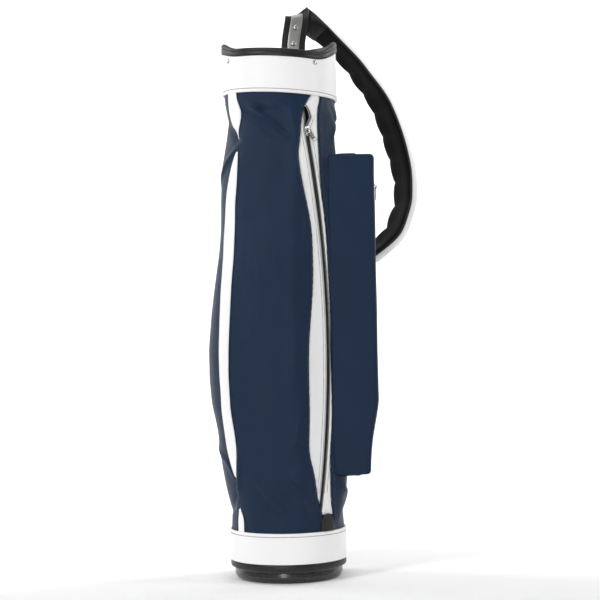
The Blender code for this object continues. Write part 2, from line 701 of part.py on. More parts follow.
# ---------------------------------------------------------------- side pocket
def build_pocket():
    low_z, high_z = POCKET_Z
    wall = POCKET_WALL
    inner_z = (low_z + wall + GAP, high_z - wall - GAP)
    levels = [inner_z[0], *(z for z in LEVELS if inner_z[0] + 1 * MM < z < inner_z[1] - 1 * MM), inner_z[1]]

    for name, near, far in (("pocket_front", -POCKET_HALF, -POCKET_HALF + wall),
                            ("pocket_back", POCKET_HALF - wall, POCKET_HALF)):
        sections = []
        for z in levels:
            start = max(surface_x(near, z), surface_x(far, z)) + 2 * GAP
            end = pocket_face(z) - wall - GAP
            sections.append([Vector((start, near, z)), Vector((end, near, z)),
                             Vector((end, far, z)), Vector((start, far, z))])
        loft(name, sections, NAVY)

    ends = (("pocket_bottom", low_z, low_z + wall), ("pocket_top", high_z - wall, high_z))
    for name, floor, ceiling in ends:
        sections = []
        for i in range(11):
            y = -POCKET_HALF + 2 * POCKET_HALF * i / 10
            start = max(surface_x(y, floor), surface_x(y, ceiling)) + 5 * GAP
            end = pocket_face(floor)
            sections.append([Vector((start, y, floor)), Vector((end, y, floor)),
                             Vector((end, y, ceiling)), Vector((start, y, ceiling))])
        loft(name, sections, NAVY)

    zip_low, zip_high = POCKET_ZIP_Z
    zip_ends = [zip_low - 2 * MM, zip_low - 1 * MM, zip_high + 1 * MM, zip_high + 2 * MM]
    face_levels = sorted(levels + zip_ends)
    for name, side in (("pocket_face_front", -1), ("pocket_face_back", 1)):
        sections = []
        for z in face_levels:
            beside_zip = zip_low - 1.5 * MM < z < zip_high + 1.5 * MM
            inner = side * (POCKET_ZIP_HALF + GAP if beside_zip else GAP)
            outer = side * POCKET_HALF
            face = pocket_face(z)
            sections.append([Vector((face - wall, inner, z)), Vector((face, inner, z)),
                             Vector((face, outer, z)), Vector((face - wall, outer, z))])
        loft(name, sections, NAVY)


def build_pocket_zip():
    low, high = POCKET_ZIP_Z
    face = POCKET_ZIP_X - 0.5 * MM
    for name, side in (("left", -1), ("right", 1)):
        edges = sorted((side * CHAIN_GAP, side * POCKET_ZIP_HALF))
        box(f"pocket_tape_{name}", (face - TAPE, edges[0], low), (face, edges[1], high), BLACK)
        rows = sorted((side * (CHAIN_GAP + 0.1 * MM), side * (CHAIN_GAP + 0.1 * MM + CHAIN_ROW)))
        box(f"pocket_chain_{name}", (face + CHAIN_RISE[0], rows[0], low + 4 * MM),
            (face + CHAIN_RISE[1], rows[1], high - 4 * MM), TEETH)
    across, outward = Vector((0.0, 1.0, 0.0)), Vector((1.0, 0.0, 0.0))
    place = Vector((face, 0.0, POCKET_SLIDER_Z))
    deck_top = build_slider("pocket_slider", frame(place, across, UP, outward), TAPE)
    pull_place = place + outward * (deck_top + 1.6 * MM) + UP * 1.4 * MM
    build_pull("pocket_pull", frame(pull_place, across, UP, outward), 22 * MM, BRONZE)


# ---------------------------------------------------------------- strap
def strap_piece(name, start, end, width, layer, mat, stations, swing):
    sections = []
    for s, middle, across, _, outward in stations:
        if start <= s <= end:
            half = width(s) / 2
            corners = ((-half, layer[0]), (half, layer[0]), (half, layer[1]), (-half, layer[1]))
            sections.append([middle + across * w + outward * n for w, n in corners])
    return loft(name, sections, mat, parent=swing)


def build_strap():
    stations = strap_stations()
    swing = pivot("strap_swing_axis", Matrix.Translation(STRAP_AXIS))
    pieces = (
        ("strap_root", 0.0, ROOT_END, lambda s: ROOT_WIDTH, ROOT_LAYER, BLACK),
        ("strap_stay", 0.0, STAY_END, lambda s: STAY_WIDTH, STAY_LAYER, STEEL),
        ("strap_cover", COVER_START, PAD_END, pad_width, COVER_LAYER, WHITE),
        ("strap_pad", ROOT_END + 2 * MM, PAD_END, pad_width, PAD_LAYER, RUBBER),
        ("strap_webbing", PAD_END + 2 * MM, 1.0, lambda s: WEBBING_WIDTH, WEBBING_LAYER, WEBBING),
    )
    for piece in pieces:
        strap_piece(*piece, stations, swing)
    on_stay = [station for station in stations if station[0] < STAY_END]
    for name, height in zip(("strap_rivet_lower", "strap_rivet_upper"), STRAP_RIVETS_Z):
        _, middle, across, along, outward = min(on_stay, key=lambda station: abs(station[1].z - height))
        place = middle + outward * (STAY_LAYER[1] + GAP)
        domed_head(name, frame(place, across, along, outward), RIVET_HEAD, 1.6 * MM, NICKEL, swing)
    build_dring(swing)


def build_dring(swing):
    plane = Vector((math.cos(math.radians(STRAP_PLANE)), math.sin(math.radians(STRAP_PLANE)), 0.0))
    side = Vector((plane.y, -plane.x, 0.0))
    centre = STRAP_AXIS + UP * DRING_CENTRE_Z
    path = []
    for i in range(13):
        turn = math.radians(-90 + 180 * i / 12)
        path.append(centre + plane * DRING_REACH * math.cos(turn) + UP * DRING_HALF * math.sin(turn))
    path += [centre + UP * DRING_HALF * k for k in (0.5, 0.0, -0.5)]
    sections = []
    for i, point in enumerate(path):
        along = (path[(i + 1) % len(path)] - path[i - 1]).normalized()
        outward = side.cross(along)
        sections.append([point + side * DRING_WIRE * math.cos(a) + outward * DRING_WIRE * math.sin(a)
                         for a in (math.tau * k / 8 for k in range(8))])
    loft("strap_dring", sections, NICKEL, ring=True, parent=swing)


def build_strap_anchors():
    x, y = STRAP_AXIS.x, STRAP_AXIS.y
    box("strap_anchor_tab", (x - ANCHOR_HALF, y + GAP, ANCHOR_Z[0]),
        (x + ANCHOR_HALF, y + ANCHOR_THICK, ANCHOR_Z[1]), BLACK)
    for name, height in zip(("anchor_rivet_lower", "anchor_rivet_upper"), ANCHOR_RIVETS_Z):
        place = Vector((x, y + ANCHOR_THICK + GAP, height))
        world = frame(place, Vector((-1, 0, 0)), UP, Vector((0, 1, 0)))
        domed_head(name, world, RIVET_HEAD, 1.6 * MM, NICKEL)
    chape = box("dring_chape", (x - CHAPE_HALF, y + CHAPE_DEPTH[0], CHAPE_Z[0]),
                (x + CHAPE_HALF, y + CHAPE_DEPTH[1], CHAPE_Z[1]), WEBBING)
    hole_z = (CHAPE_Z[0] - 8 * MM, CHAPE_Z[1] + 8 * MM)
    hole = disc("dring_chape_hole", DRING_WIRE + 0.5 * MM, *hole_z, WEBBING, (x, y), 16)
    hole.hide_render = True
    hole.display_type = "WIRE"
    cut = chape.modifiers.new("bar_hole", "BOOLEAN")
    cut.operation = "DIFFERENCE"
    cut.object = hole
    middle = math.pi - math.atan2(x, y)
    panel("dring_patch", lambda z: middle - CHAPE_PATCH_HALF, lambda z: middle + CHAPE_PATCH_HALF, 3, BLACK,
          CHAPE_PATCH_Z, 1.0 * MM, 1.0 * MM + GAP)


build_base()
build_tube()
build_long_zip()
build_end_patch()
build_long_zip_slider()
build_collar()
build_divider()
build_stiffening()
build_pocket()
build_pocket_zip()
build_strap()
build_strap_anchors()
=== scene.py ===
"""Looks of the golf carry bag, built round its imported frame.

Metres, +Z up, -Y the front. Angles round the bag start at the front and grow
towards +X. The fabric follows the frame's own surface, sampled by rays, and the
strap follows the same route as in the CAD model.
"""
import math

import bmesh
import bpy
import numpy as np
from mathutils import Matrix, Vector
from mathutils.bvhtree import BVHTree


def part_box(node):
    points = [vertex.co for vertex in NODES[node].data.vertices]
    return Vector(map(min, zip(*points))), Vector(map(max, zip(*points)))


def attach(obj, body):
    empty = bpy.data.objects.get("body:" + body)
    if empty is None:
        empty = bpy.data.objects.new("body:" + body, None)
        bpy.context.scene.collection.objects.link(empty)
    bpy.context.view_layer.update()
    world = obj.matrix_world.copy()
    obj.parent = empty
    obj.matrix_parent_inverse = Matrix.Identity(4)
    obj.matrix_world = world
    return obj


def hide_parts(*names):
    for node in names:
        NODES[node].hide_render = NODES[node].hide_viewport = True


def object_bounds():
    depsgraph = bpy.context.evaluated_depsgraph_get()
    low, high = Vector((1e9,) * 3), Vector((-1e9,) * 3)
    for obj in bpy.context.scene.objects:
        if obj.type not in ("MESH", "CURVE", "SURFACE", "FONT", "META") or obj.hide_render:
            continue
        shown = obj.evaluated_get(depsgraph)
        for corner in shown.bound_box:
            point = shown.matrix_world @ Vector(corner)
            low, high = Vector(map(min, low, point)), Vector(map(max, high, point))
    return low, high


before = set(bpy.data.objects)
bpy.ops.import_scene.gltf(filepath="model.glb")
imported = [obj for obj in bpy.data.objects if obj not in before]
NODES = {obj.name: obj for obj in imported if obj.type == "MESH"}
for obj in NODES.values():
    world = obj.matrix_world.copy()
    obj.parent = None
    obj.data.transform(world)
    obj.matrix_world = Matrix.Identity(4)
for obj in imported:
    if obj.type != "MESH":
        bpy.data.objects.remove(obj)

CAD_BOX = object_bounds()
MM = 0.001
UP = np.array((0.0, 0.0, 1.0))

# Photograph's viewpoint
CAMERA_PLACE = (0.0, -2.65, 0.423)
CAMERA_LENS = 97.68
CAMERA_YAW = -0.574
CAMERA_PITCH = 0.528
CAMERA_ROLL = -1.15

# Seams of the tube: (height in mm, angle in degrees)
LEFT_SEAM = math.radians(-120)
REAR_SEAM = math.radians(125)
STRIPE_LEFT = (
    (80, -59.2), (99, -59.6), (112, -57.6), (122, -56.2), (156, -54.8), (165, -55.2), (187, -59.3),
    (214, -63), (245, -64.2), (300, -62.6), (360, -62.4), (473, -64.6), (544, -68.5), (592, -66.5),
    (632, -61), (673, -53.2), (690, -48.8), (700, -49.4), (723, -59), (746, -68), (776, -66))
STRIPE_RIGHT = (
    (80, -49.6), (99, -50.2), (108, -52.2), (122, -56.0), (156, -54.6), (172, -53), (194, -50.6),
    (217, -50.3), (278, -52.4), (360, -51.7), (473, -50.8), (590, -50.2), (631, -47.7), (672, -47.2),
    (690, -48.4), (700, -49.1), (721, -48.7), (745, -45), (776, -49.7))
FRONT_EDGE = (
    (83, 36.5), (108, 37), (134, 31.5), (172, 27.1), (204, 22.6), (259, 23.4), (326, 23.6), (384, 25),
    (463, 30.4), (521, 31.4), (568, 29.4), (629, 20.9), (673, 16.7), (700, 18.6), (726, 20.5),
    (749, 23.5), (764, 30), (778, 35.7))
RIGHT_EDGE = (
    (104, 51), (108, 50.4), (146, 49.5), (202, 49.8), (241, 52.3), (346, 53.4), (447, 52.6), (542, 50.3),
    (583, 48.3), (618, 44.8), (660, 43), (700, 41.5), (744, 42.2), (769, 45.9), (800, 46))
BASE_RADIUS = 94 * MM
FLAT_RADIUS = 93 * MM  # turns angles round the tube into distances along its fabric

# Long zip, as in the frame
ZIP_ANGLE = math.radians(40)
ZIP_DISTANCE = 90 * MM
ZIP_RADIUS = 1550 * MM
ZIP_MID_Z = 380 * MM
ZIP_MID_U = 14 * MM
ZIP_TOP = 752 * MM
ZIP_BOTTOM = 111.7 * MM
OPEN_FROM = 718 * MM

# Strap, as in the frame
STRAP_AXIS = np.array((24.5 * MM, 95.3 * MM, 0.0))
STRAP_PLANE = math.radians(20)
STRAP_PATH = (
    (0, 867, 0), (1, 885, 0), (4, 903, 0), (7, 918, -0.5), (9.5, 930, -3), (12.5, 934.5, -9),
    (17, 932, -15), (26, 927, -18), (38, 920, -18.5), (54, 908.5, -18), (82, 885, -16), (108, 860, -13),
    (126, 837, -10), (164, 779, -4), (196, 680, 0), (200.5, 623, 0), (192.5, 592, 0), (177, 560.6, 0),
    (148, 534, 0), (104, 496, 0), (60, 462, 0), (24, 435, 0))
STRAP_SLOPE = (
    (0, -5), (36, -5), (50, 9), (62, 26), (70, 34), (84, 42), (100, 47), (150, 46), (200, 36), (280, 18),
    (340, 8), (400, 0), (440, -12), (465, -28), (500, -42), (560, -49), (720, -53))
STRAP_TWIST = (
    (0, 72), (50, 78), (70, 84), (90, 70), (112, 46), (145, 26), (190, 15), (360, 14), (450, 4), (585, 0),
    (645, -45), (695, -90), (730, -90))
PAD_WIDTH = ((0, 40), (122, 38), (200, 43), (290, 50), (550, 55), (592, 44), (720, 38))


# ---------------------------------------------------------------- curves and numbers
class Curve:
    """Smooth curve through (position, value) knots, level beyond its ends. Positions are in mm."""

    def __init__(self, knots, scale=MM):
        self.at = np.array([k[0] for k in knots], float) * MM
        self.values = np.array([k[1] for k in knots], float) * scale
        self.slopes = np.zeros(len(knots))
        self.slopes[1:-1] = (self.values[2:] - self.values[:-2]) / (self.at[2:] - self.at[:-2])

    def __call__(self, position):
        p = np.clip(np.asarray(position, float), self.at[0], self.at[-1])
        i = np.clip(np.searchsorted(self.at, p, side="right") - 1, 0, len(self.at) - 2)
        span = self.at[i + 1] - self.at[i]
        t = (p - self.at[i]) / span
        ends = (2 * t**3 - 3 * t**2 + 1) * self.values[i] + (3 * t**2 - 2 * t**3) * self.values[i + 1]
        return ends + span * ((t**3 - 2 * t**2 + t) * self.slopes[i] + (t**3 - t**2) * self.slopes[i + 1])


def degrees(knots):
    return Curve(knots, math.radians(1))


def ease(low, high, value):
    t = np.clip((np.asarray(value, float) - low) / (high - low), 0.0, 1.0)
    return t * t * (3 - 2 * t)


def unit(v):
    return v / np.linalg.norm(v, axis=-1, keepdims=True)


def bell(value, width):
    """1 at nought, falling off smoothly over the given width."""
    return np.exp(-((value / width) ** 2))


def outwards(points):
    """Level unit vectors from the bag's axis towards points."""
    return unit(points * np.array((1.0, 1.0, 0.0)))


def around(radius, angle, z):
    """Points on the bag at a radius, an angle and a height."""
    return np.stack((radius * np.sin(angle), -radius * np.cos(angle), z + 0 * angle), -1)


def arc(distance):
    """Angle that a distance along the fabric takes up."""
    return distance / FLAT_RADIUS


def travelled(path):
    """Distance along a path at each of its points."""
    return np.concatenate(([0.0], np.cumsum(np.linalg.norm(np.diff(path, axis=0), axis=1))))


def at_distance(wanted, travel, values):
    return np.stack([np.interp(wanted, travel, column) for column in values.T], -1)


def blurred(values, axis, radius, wrap):
    """Gaussian blur of a table along one axis."""
    reach = int(3 * radius) + 1
    weights = np.exp(-0.5 * (np.arange(-reach, reach + 1) / radius) ** 2)
    weights /= weights.sum()
    out = np.zeros_like(values)
    for offset, weight in zip(range(-reach, reach + 1), weights):
        if wrap:
            out += weight * np.roll(values, offset, axis)
        else:
            rows = np.clip(np.arange(values.shape[axis]) - offset, 0, values.shape[axis] - 1)
            out += weight * np.take(values, rows, axis)
    return out


class Shell:
    """Radius of the frame's fabric tube at any angle and height, sampled by rays towards its axis."""

    LOW, HIGH, STEP, COUNT = 33 * MM, 799 * MM, 4 * MM, 240

    def __init__(self, names):
        points, faces = [], []
        for name in names:
            mesh = NODES[name].data
            start = len(points)
            points += [v.co.copy() for v in mesh.vertices]
            faces += [[start + i for i in face.vertices] for face in mesh.polygons]
        tree = BVHTree.FromPolygons(points, faces)
        self.levels = np.arange(self.LOW, self.HIGH, self.STEP)
        table = np.full((len(self.levels), self.COUNT), np.nan)
        for row, z in enumerate(self.levels):
            for column in range(self.COUNT):
                angle = math.tau * (column + 0.37) / self.COUNT
                out = Vector((math.sin(angle), -math.cos(angle), 0.0))
                hit = tree.ray_cast(out * 0.3 + Vector((0, 0, z)), -out)[0]
                if hit is not None and hit.to_2d().dot(out.to_2d()) > 70 * MM:
                    table[row, column] = hit.to_2d().length
        for row in table:
            known = ~np.isnan(row)
            row[:] = np.interp(np.arange(self.COUNT), np.flatnonzero(known), row[known], period=self.COUNT)
        self.table = blurred(blurred(table, 1, 2.0, True), 0, 1.6, False)

    def __call__(self, angle, z):
        column = (np.asarray(angle) / math.tau * self.COUNT - 0.37) % self.COUNT
        row = np.clip((np.asarray(z) - self.LOW) / self.STEP, 0, len(self.levels) - 1.001)
        c, r = column.astype(int), row.astype(int)
        u, v = column - c, row - r
        right = (c + 1) % self.COUNT
        low = self.table[r, c] * (1 - u) + self.table[r, right] * u
        high = self.table[r + 1, c] * (1 - u) + self.table[r + 1, right] * u
        return low * (1 - v) + high * v


shell = Shell(("left_panel", "white_stripe", "front_panel", "zip_tape_left", "zip_tape_right", "right_panel",
               "back_panel"))
stripe_left = degrees(STRIPE_LEFT)
stripe_right = degrees(STRIPE_RIGHT)
front_edge = degrees(FRONT_EDGE)
right_edge = degrees(RIGHT_EDGE)


def zip_u(z):
    """Distance of the long zip from the middle line of its strip."""
    return ZIP_MID_U - ZIP_RADIUS + np.sqrt(ZIP_RADIUS**2 - (z - ZIP_MID_Z) ** 2)


def zip_angle(z):
    return ZIP_ANGLE + np.arctan2(zip_u(z), ZIP_DISTANCE)


# ---------------------------------------------------------------- folds of the fabric
class Fold:
    """Soft crease along a few (degrees, mm) points of the unrolled tube."""

    DEPTH, BREADTH = 1.4, 0.66

    def __init__(self, points, height, width, lean=0.0):
        self.line = np.array([(math.radians(a) * FLAT_RADIUS, z * MM) for a, z in points])
        self.height, self.width, self.lean = self.DEPTH * height * MM, self.BREADTH * width * MM, lean

    def __call__(self, angle, z):
        angle = (np.asarray(angle) + math.pi) % math.tau - math.pi
        spot = np.stack((angle * FLAT_RADIUS, z + 0 * angle), -1)
        starts = travelled(self.line)
        best = np.full(spot.shape[:-1], 1.0)
        along = np.zeros_like(best)
        side = np.zeros_like(best)
        for i, length in enumerate(np.diff(starts)):
            step = (self.line[i + 1] - self.line[i]) / length
            t = np.clip((spot - self.line[i]) @ step, 0, length)
            gap = spot - self.line[i] - t[..., None] * step
            distance = np.linalg.norm(gap, axis=-1)
            nearer = distance < best
            best = np.where(nearer, distance, best)
            along = np.where(nearer, (starts[i] + t) / starts[-1], along)
            side = np.where(nearer, gap @ np.array((-step[1], step[0])), side)
        taper = np.sin(math.pi * np.clip(along * 0.92 + 0.04, 0, 1)) ** 0.7
        profile = bell(best, self.width) * (1 + self.lean * side / self.width)
        return self.height * taper * profile


FOLDS = (
    Fold(((-43, 764), (-14, 735), (9, 700)), 3.6, 6, 0.9),
    Fold(((-46, 752), (-24, 728), (-2, 700)), -2.2, 7, 0.3),
    Fold(((-30, 762), (-14, 745)), -2.4, 6, -0.6),
    Fold(((-20, 768), (-4, 748)), 2.0, 6),
    Fold(((2, 764), (24, 743)), -2.6, 6, 0.6),
    Fold(((33, 768), (18, 731)), 3.2, 6, -0.8),
    Fold(((10, 748), (14, 716), (16, 684)), 1.6, 6),
    Fold(((-49, 703), (-66, 722), (-92, 740)), -3.6, 8),
    Fold(((-49, 694), (-66, 672), (-86, 640)), 2.6, 8, 0.5),
    Fold(((-55, 745), (-57, 722), (-50, 700)), -2.2, 7),
    Fold(((-46, 228), (-50, 190), (-55, 140)), 2.0, 6, 0.8),
    Fold(((-57, 165), (-66, 190), (-92, 215)), 2.2, 8),
    Fold(((-56, 140), (-70, 118), (-95, 104)), -2.2, 8),
    Fold(((-4, 170), (9, 147), (18, 115)), 2.6, 6, 0.5),
    Fold(((12, 250), (8, 210), (19, 172)), 2.4, 6, -0.7),
    Fold(((20, 215), (24, 180), (33, 136)), 2.0, 6),
    Fold(((-34, 165), (-12, 128), (2, 104)), 2.2, 7),
    Fold(((-20, 118), (-6, 104)), -1.8, 6),
    Fold(((22, 590), (14, 640), (16, 676)), 1.6, 8),
    Fold(((58, 700), (72, 735), (84, 764)), 2.6, 7, 0.5),
    Fold(((60, 764), (70, 730), (66, 690)), -2.2, 7),
    Fold(((58, 150), (76, 138), (98, 104)), 2.2, 8, 0.4),
    Fold(((-130, 764), (-150, 720), (-148, 660)), 2.8, 9, 0.6),
    Fold(((150, 764), (168, 724), (176, 660)), 2.6, 9, -0.5),
    Fold(((-110, 110), (-135, 150), (-150, 220)), 2.8, 10, 0.5),
    Fold(((140, 106), (160, 140), (150, 220)), 2.6, 10, -0.5),
    Fold(((-100, 560), (-112, 480), (-104, 390)), 2.2, 12),
    Fold(((-168, 560), (-150, 430), (-166, 300)), 2.2, 12),
    Fold(((-34, 560), (-22, 470), (-30, 380)), 1.5, 13),
    Fold(((4, 470), (12, 390), (6, 300)), 1.4, 12),
)
# Faint unevenness everywhere: (turns round the tube, rate up it, mm, phase)
WAVES = ((2, 47, 0.35, 0.3), (3, 31, 0.30, 1.7), (5, 62, 0.16, 4.1), (7, 23, 0.14, 2.2), (4, 88, 0.10, 5.0))


def folds(angle, z):
    """How far the fabric stands out of the frame's plain tube."""
    free = ease(88 * MM, 112 * MM, z) * (1 - ease(748 * MM, 768 * MM, z))
    height = sum(fold(angle, z) for fold in FOLDS)
    for turns, rate, size, phase in WAVES:
        height = height + size * MM * np.sin(turns * angle + phase) * np.sin(rate * z + 2 * phase)
    on_zip = bell((angle - zip_angle(z)) * ZIP_DISTANCE, 15 * MM)
    return height * free * (1 - 0.94 * on_zip)


def body_point(angle, z, lift=0.0):
    return around(shell(angle, z) + folds(angle, z) + lift, angle, z)


def pucker(distance, z, reach=7 * MM, pitch=10.5 * MM, size=0.35 * MM):
    """Small ripples that a line of stitches draws into the cloth beside it."""
    ripple = np.sin(math.tau * z / pitch) + 0.6 * np.sin(math.tau * z / (pitch * 1.73) + 1.0)
    return size * ripple * bell(distance, reach)


# ---------------------------------------------------------------- meshes
def new_piece(name, points, faces, finish, body, replaces=(), flat_angle=35):
    if name in NODES:
        name += "_look"
    mesh = bpy.data.meshes.new(name)
    mesh.from_pydata([tuple(p) for p in np.asarray(points, float)], [], faces)
    mesh.materials.append(FINISHES[finish])
    mesh.shade_smooth()
    mesh.set_sharp_from_angle(angle=math.radians(flat_angle))
    obj = bpy.data.objects.new(name, mesh)
    bpy.context.scene.collection.objects.link(obj)
    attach(obj, body)
    if replaces:
        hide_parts(*replaces)
    return obj


def grid_faces(rows, columns, wrap_rows=False, wrap_columns=False, flip=False):
    faces = []
    for i in range(rows if wrap_rows else rows - 1):
        for j in range(columns if wrap_columns else columns - 1):
            a, b = i * columns + j, i * columns + (j + 1) % columns
            c, d = ((i + 1) % rows) * columns + (j + 1) % columns, ((i + 1) % rows) * columns + j
            faces.append((a, d, c, b) if flip else (a, b, c, d))
    return faces


def capped_faces(rows, columns, start=0):
    """A tube of faces from point number start on, closed by a cap at each end."""
    faces = grid_faces(rows, columns, wrap_columns=True)
    faces += [tuple(range(columns))[::-1], tuple((rows - 1) * columns + i for i in range(columns))]
    return [tuple(start + i for i in face) for face in faces]


def soften(obj, width, segments):
    """Rounded edges on a plain solid."""
    weld = obj.modifiers.new("weld", "WELD")
    weld.merge_threshold = 1e-6
    bevel = obj.modifiers.new("edges", "BEVEL")
    bevel.width = width
    bevel.segments = segments
    bevel.limit_method = "ANGLE"
    bevel.angle_limit = math.radians(30)


def sheet(name, points, finish, thickness, replaces=(), flip=False):
    """Cloth or vinyl sheet of the bag through a grid of points, thickened inwards."""
    faces = grid_faces(*points.shape[:2], flip=flip)
    obj = new_piece(name, points.reshape(-1, 3), faces, finish, "bag", replaces)
    solid = obj.modifiers.new("thickness", "SOLIDIFY")
    solid.thickness = thickness
    solid.offset = -1.0
    return obj


def section_loft(name, sections, finish, body, replaces=(), ring=False):
    """Closed solid through closed sections, each an array of points. A ring's last one joins its first."""
    sections = np.asarray(sections)
    rows, columns = sections.shape[:2]
    faces = grid_faces(rows, columns, True, True) if ring else capped_faces(rows, columns)
    obj = new_piece(name, sections.reshape(-1, 3), faces, finish, body, replaces)
    bm = bmesh.new()
    bm.from_mesh(obj.data)
    bmesh.ops.recalc_face_normals(bm, faces=bm.faces)
    bm.to_mesh(obj.data)
    bm.free()
    return obj


def normals_along(points, closed):
    """Two normals at each point of a path, carried along it without twisting."""
    if closed:
        along = unit(np.roll(points, -1, 0) - np.roll(points, 1, 0))
    else:
        along = unit(np.gradient(points, axis=0))
    normal = np.zeros_like(points)
    current = UP if abs(along[0][2]) < 0.9 else np.array((1.0, 0.0, 0.0))
    for i, t in enumerate(along):
        current = unit(current - t * (current @ t))
        normal[i] = current
    return normal, np.cross(along, normal)


def tube(name, points, radius, finish, body, sides=8, closed=False, replaces=()):
    normal, other = normals_along(points, closed)
    turns = np.linspace(0, math.tau, sides, endpoint=False)[:, None]
    ring = np.cos(turns) * normal[:, None, :] + np.sin(turns) * other[:, None, :]
    section_loft(name, points[:, None, :] + radius * ring, finish, body, replaces, closed)


def resampled(points, step):
    points = np.asarray(points, float)
    travel = travelled(points)
    count = max(2, int(round(travel[-1] / step)) + 1)
    return at_distance(np.linspace(0, travel[-1], count), travel, points)


# Outline of one stitch: (share of its length, share of its radius, rise in radii)
STITCH_OUTLINE = ((0.0, 0.15, -0.7), (0.12, 0.85, -0.1), (0.5, 1.0, 0.25), (0.88, 0.85, -0.1),
                  (1.0, 0.15, -0.7))
STITCH_SIDES = 6


def stitch_row(name, paths, finish, body, stitch=3.0 * MM, gap=1.0 * MM, radius=0.34 * MM):
    """Rows of thread: each stitch is a small rounded bar that dips at both ends."""
    turns = np.linspace(0, math.tau, STITCH_SIDES, endpoint=False)[:, None]
    points, faces = [], []
    for path, outward in paths:
        travel = travelled(path)
        outward = np.broadcast_to(np.asarray(outward, float), path.shape)
        for number in range(int(travel[-1] / (stitch + gap))):
            faces += capped_faces(len(STITCH_OUTLINE), STITCH_SIDES, len(points))
            start = number * (stitch + gap) + gap / 2
            for share, swell, rise in STITCH_OUTLINE:
                s = start + share * stitch
                up = unit(at_distance(s, travel, outward))
                ahead = at_distance(s + 0.2 * MM, travel, path)
                across = np.cross(unit(ahead - at_distance(s - 0.2 * MM, travel, path)), up)
                ring = np.cos(turns) * across + np.sin(turns) * up
                points.extend(at_distance(s, travel, path) + up * rise * radius + ring * radius * swell)
    new_piece(name, points, faces, finish, body, flat_angle=80)


# Outline of one bar: (share of its half length, share of its radius), before it is made rounder
BAR_OUTLINE = ((-1.0, 0.55), (-0.8, 1.0), (0.8, 1.0), (1.0, 0.55))
BAR_SIDES = 8
BAR_FULLNESS = 1.08


def merged_bars(name, places, size, finish):
    """Many small rounded bars, each given by its centre and three unit directions."""
    length, depth, height = np.array(size) / 2
    points, faces = [], []
    for centre, x, y, z in places:
        faces += capped_faces(len(BAR_OUTLINE), BAR_SIDES, len(points))
        for share, swell in BAR_OUTLINE:
            for k in range(BAR_SIDES):
                turn = math.tau * (k + 0.5) / BAR_SIDES
                out = y * depth * math.cos(turn) + z * height * math.sin(turn)
                points.append(centre + x * length * share + out * swell * BAR_FULLNESS)
    new_piece(name, points, faces, finish, "bag", (name,), flat_angle=50)


NEAR_AXIS = 0.02 * MM


def turned_piece(name, profile, finish, body="bag", matrix=None, steps=128):
    """Solid of revolution through a closed loop of (radius, height). One without a hole starts NEAR_AXIS."""
    turns = np.linspace(0, math.tau, steps, endpoint=False)
    rows = [np.stack((r * np.cos(turns), r * np.sin(turns), np.full(steps, z)), -1) for r, z in profile]
    points = np.concatenate(rows)
    if matrix is not None:
        points = points @ matrix[0] + matrix[1]
    return new_piece(name, points, grid_faces(len(profile), steps, True, True), finish, body, (name,))


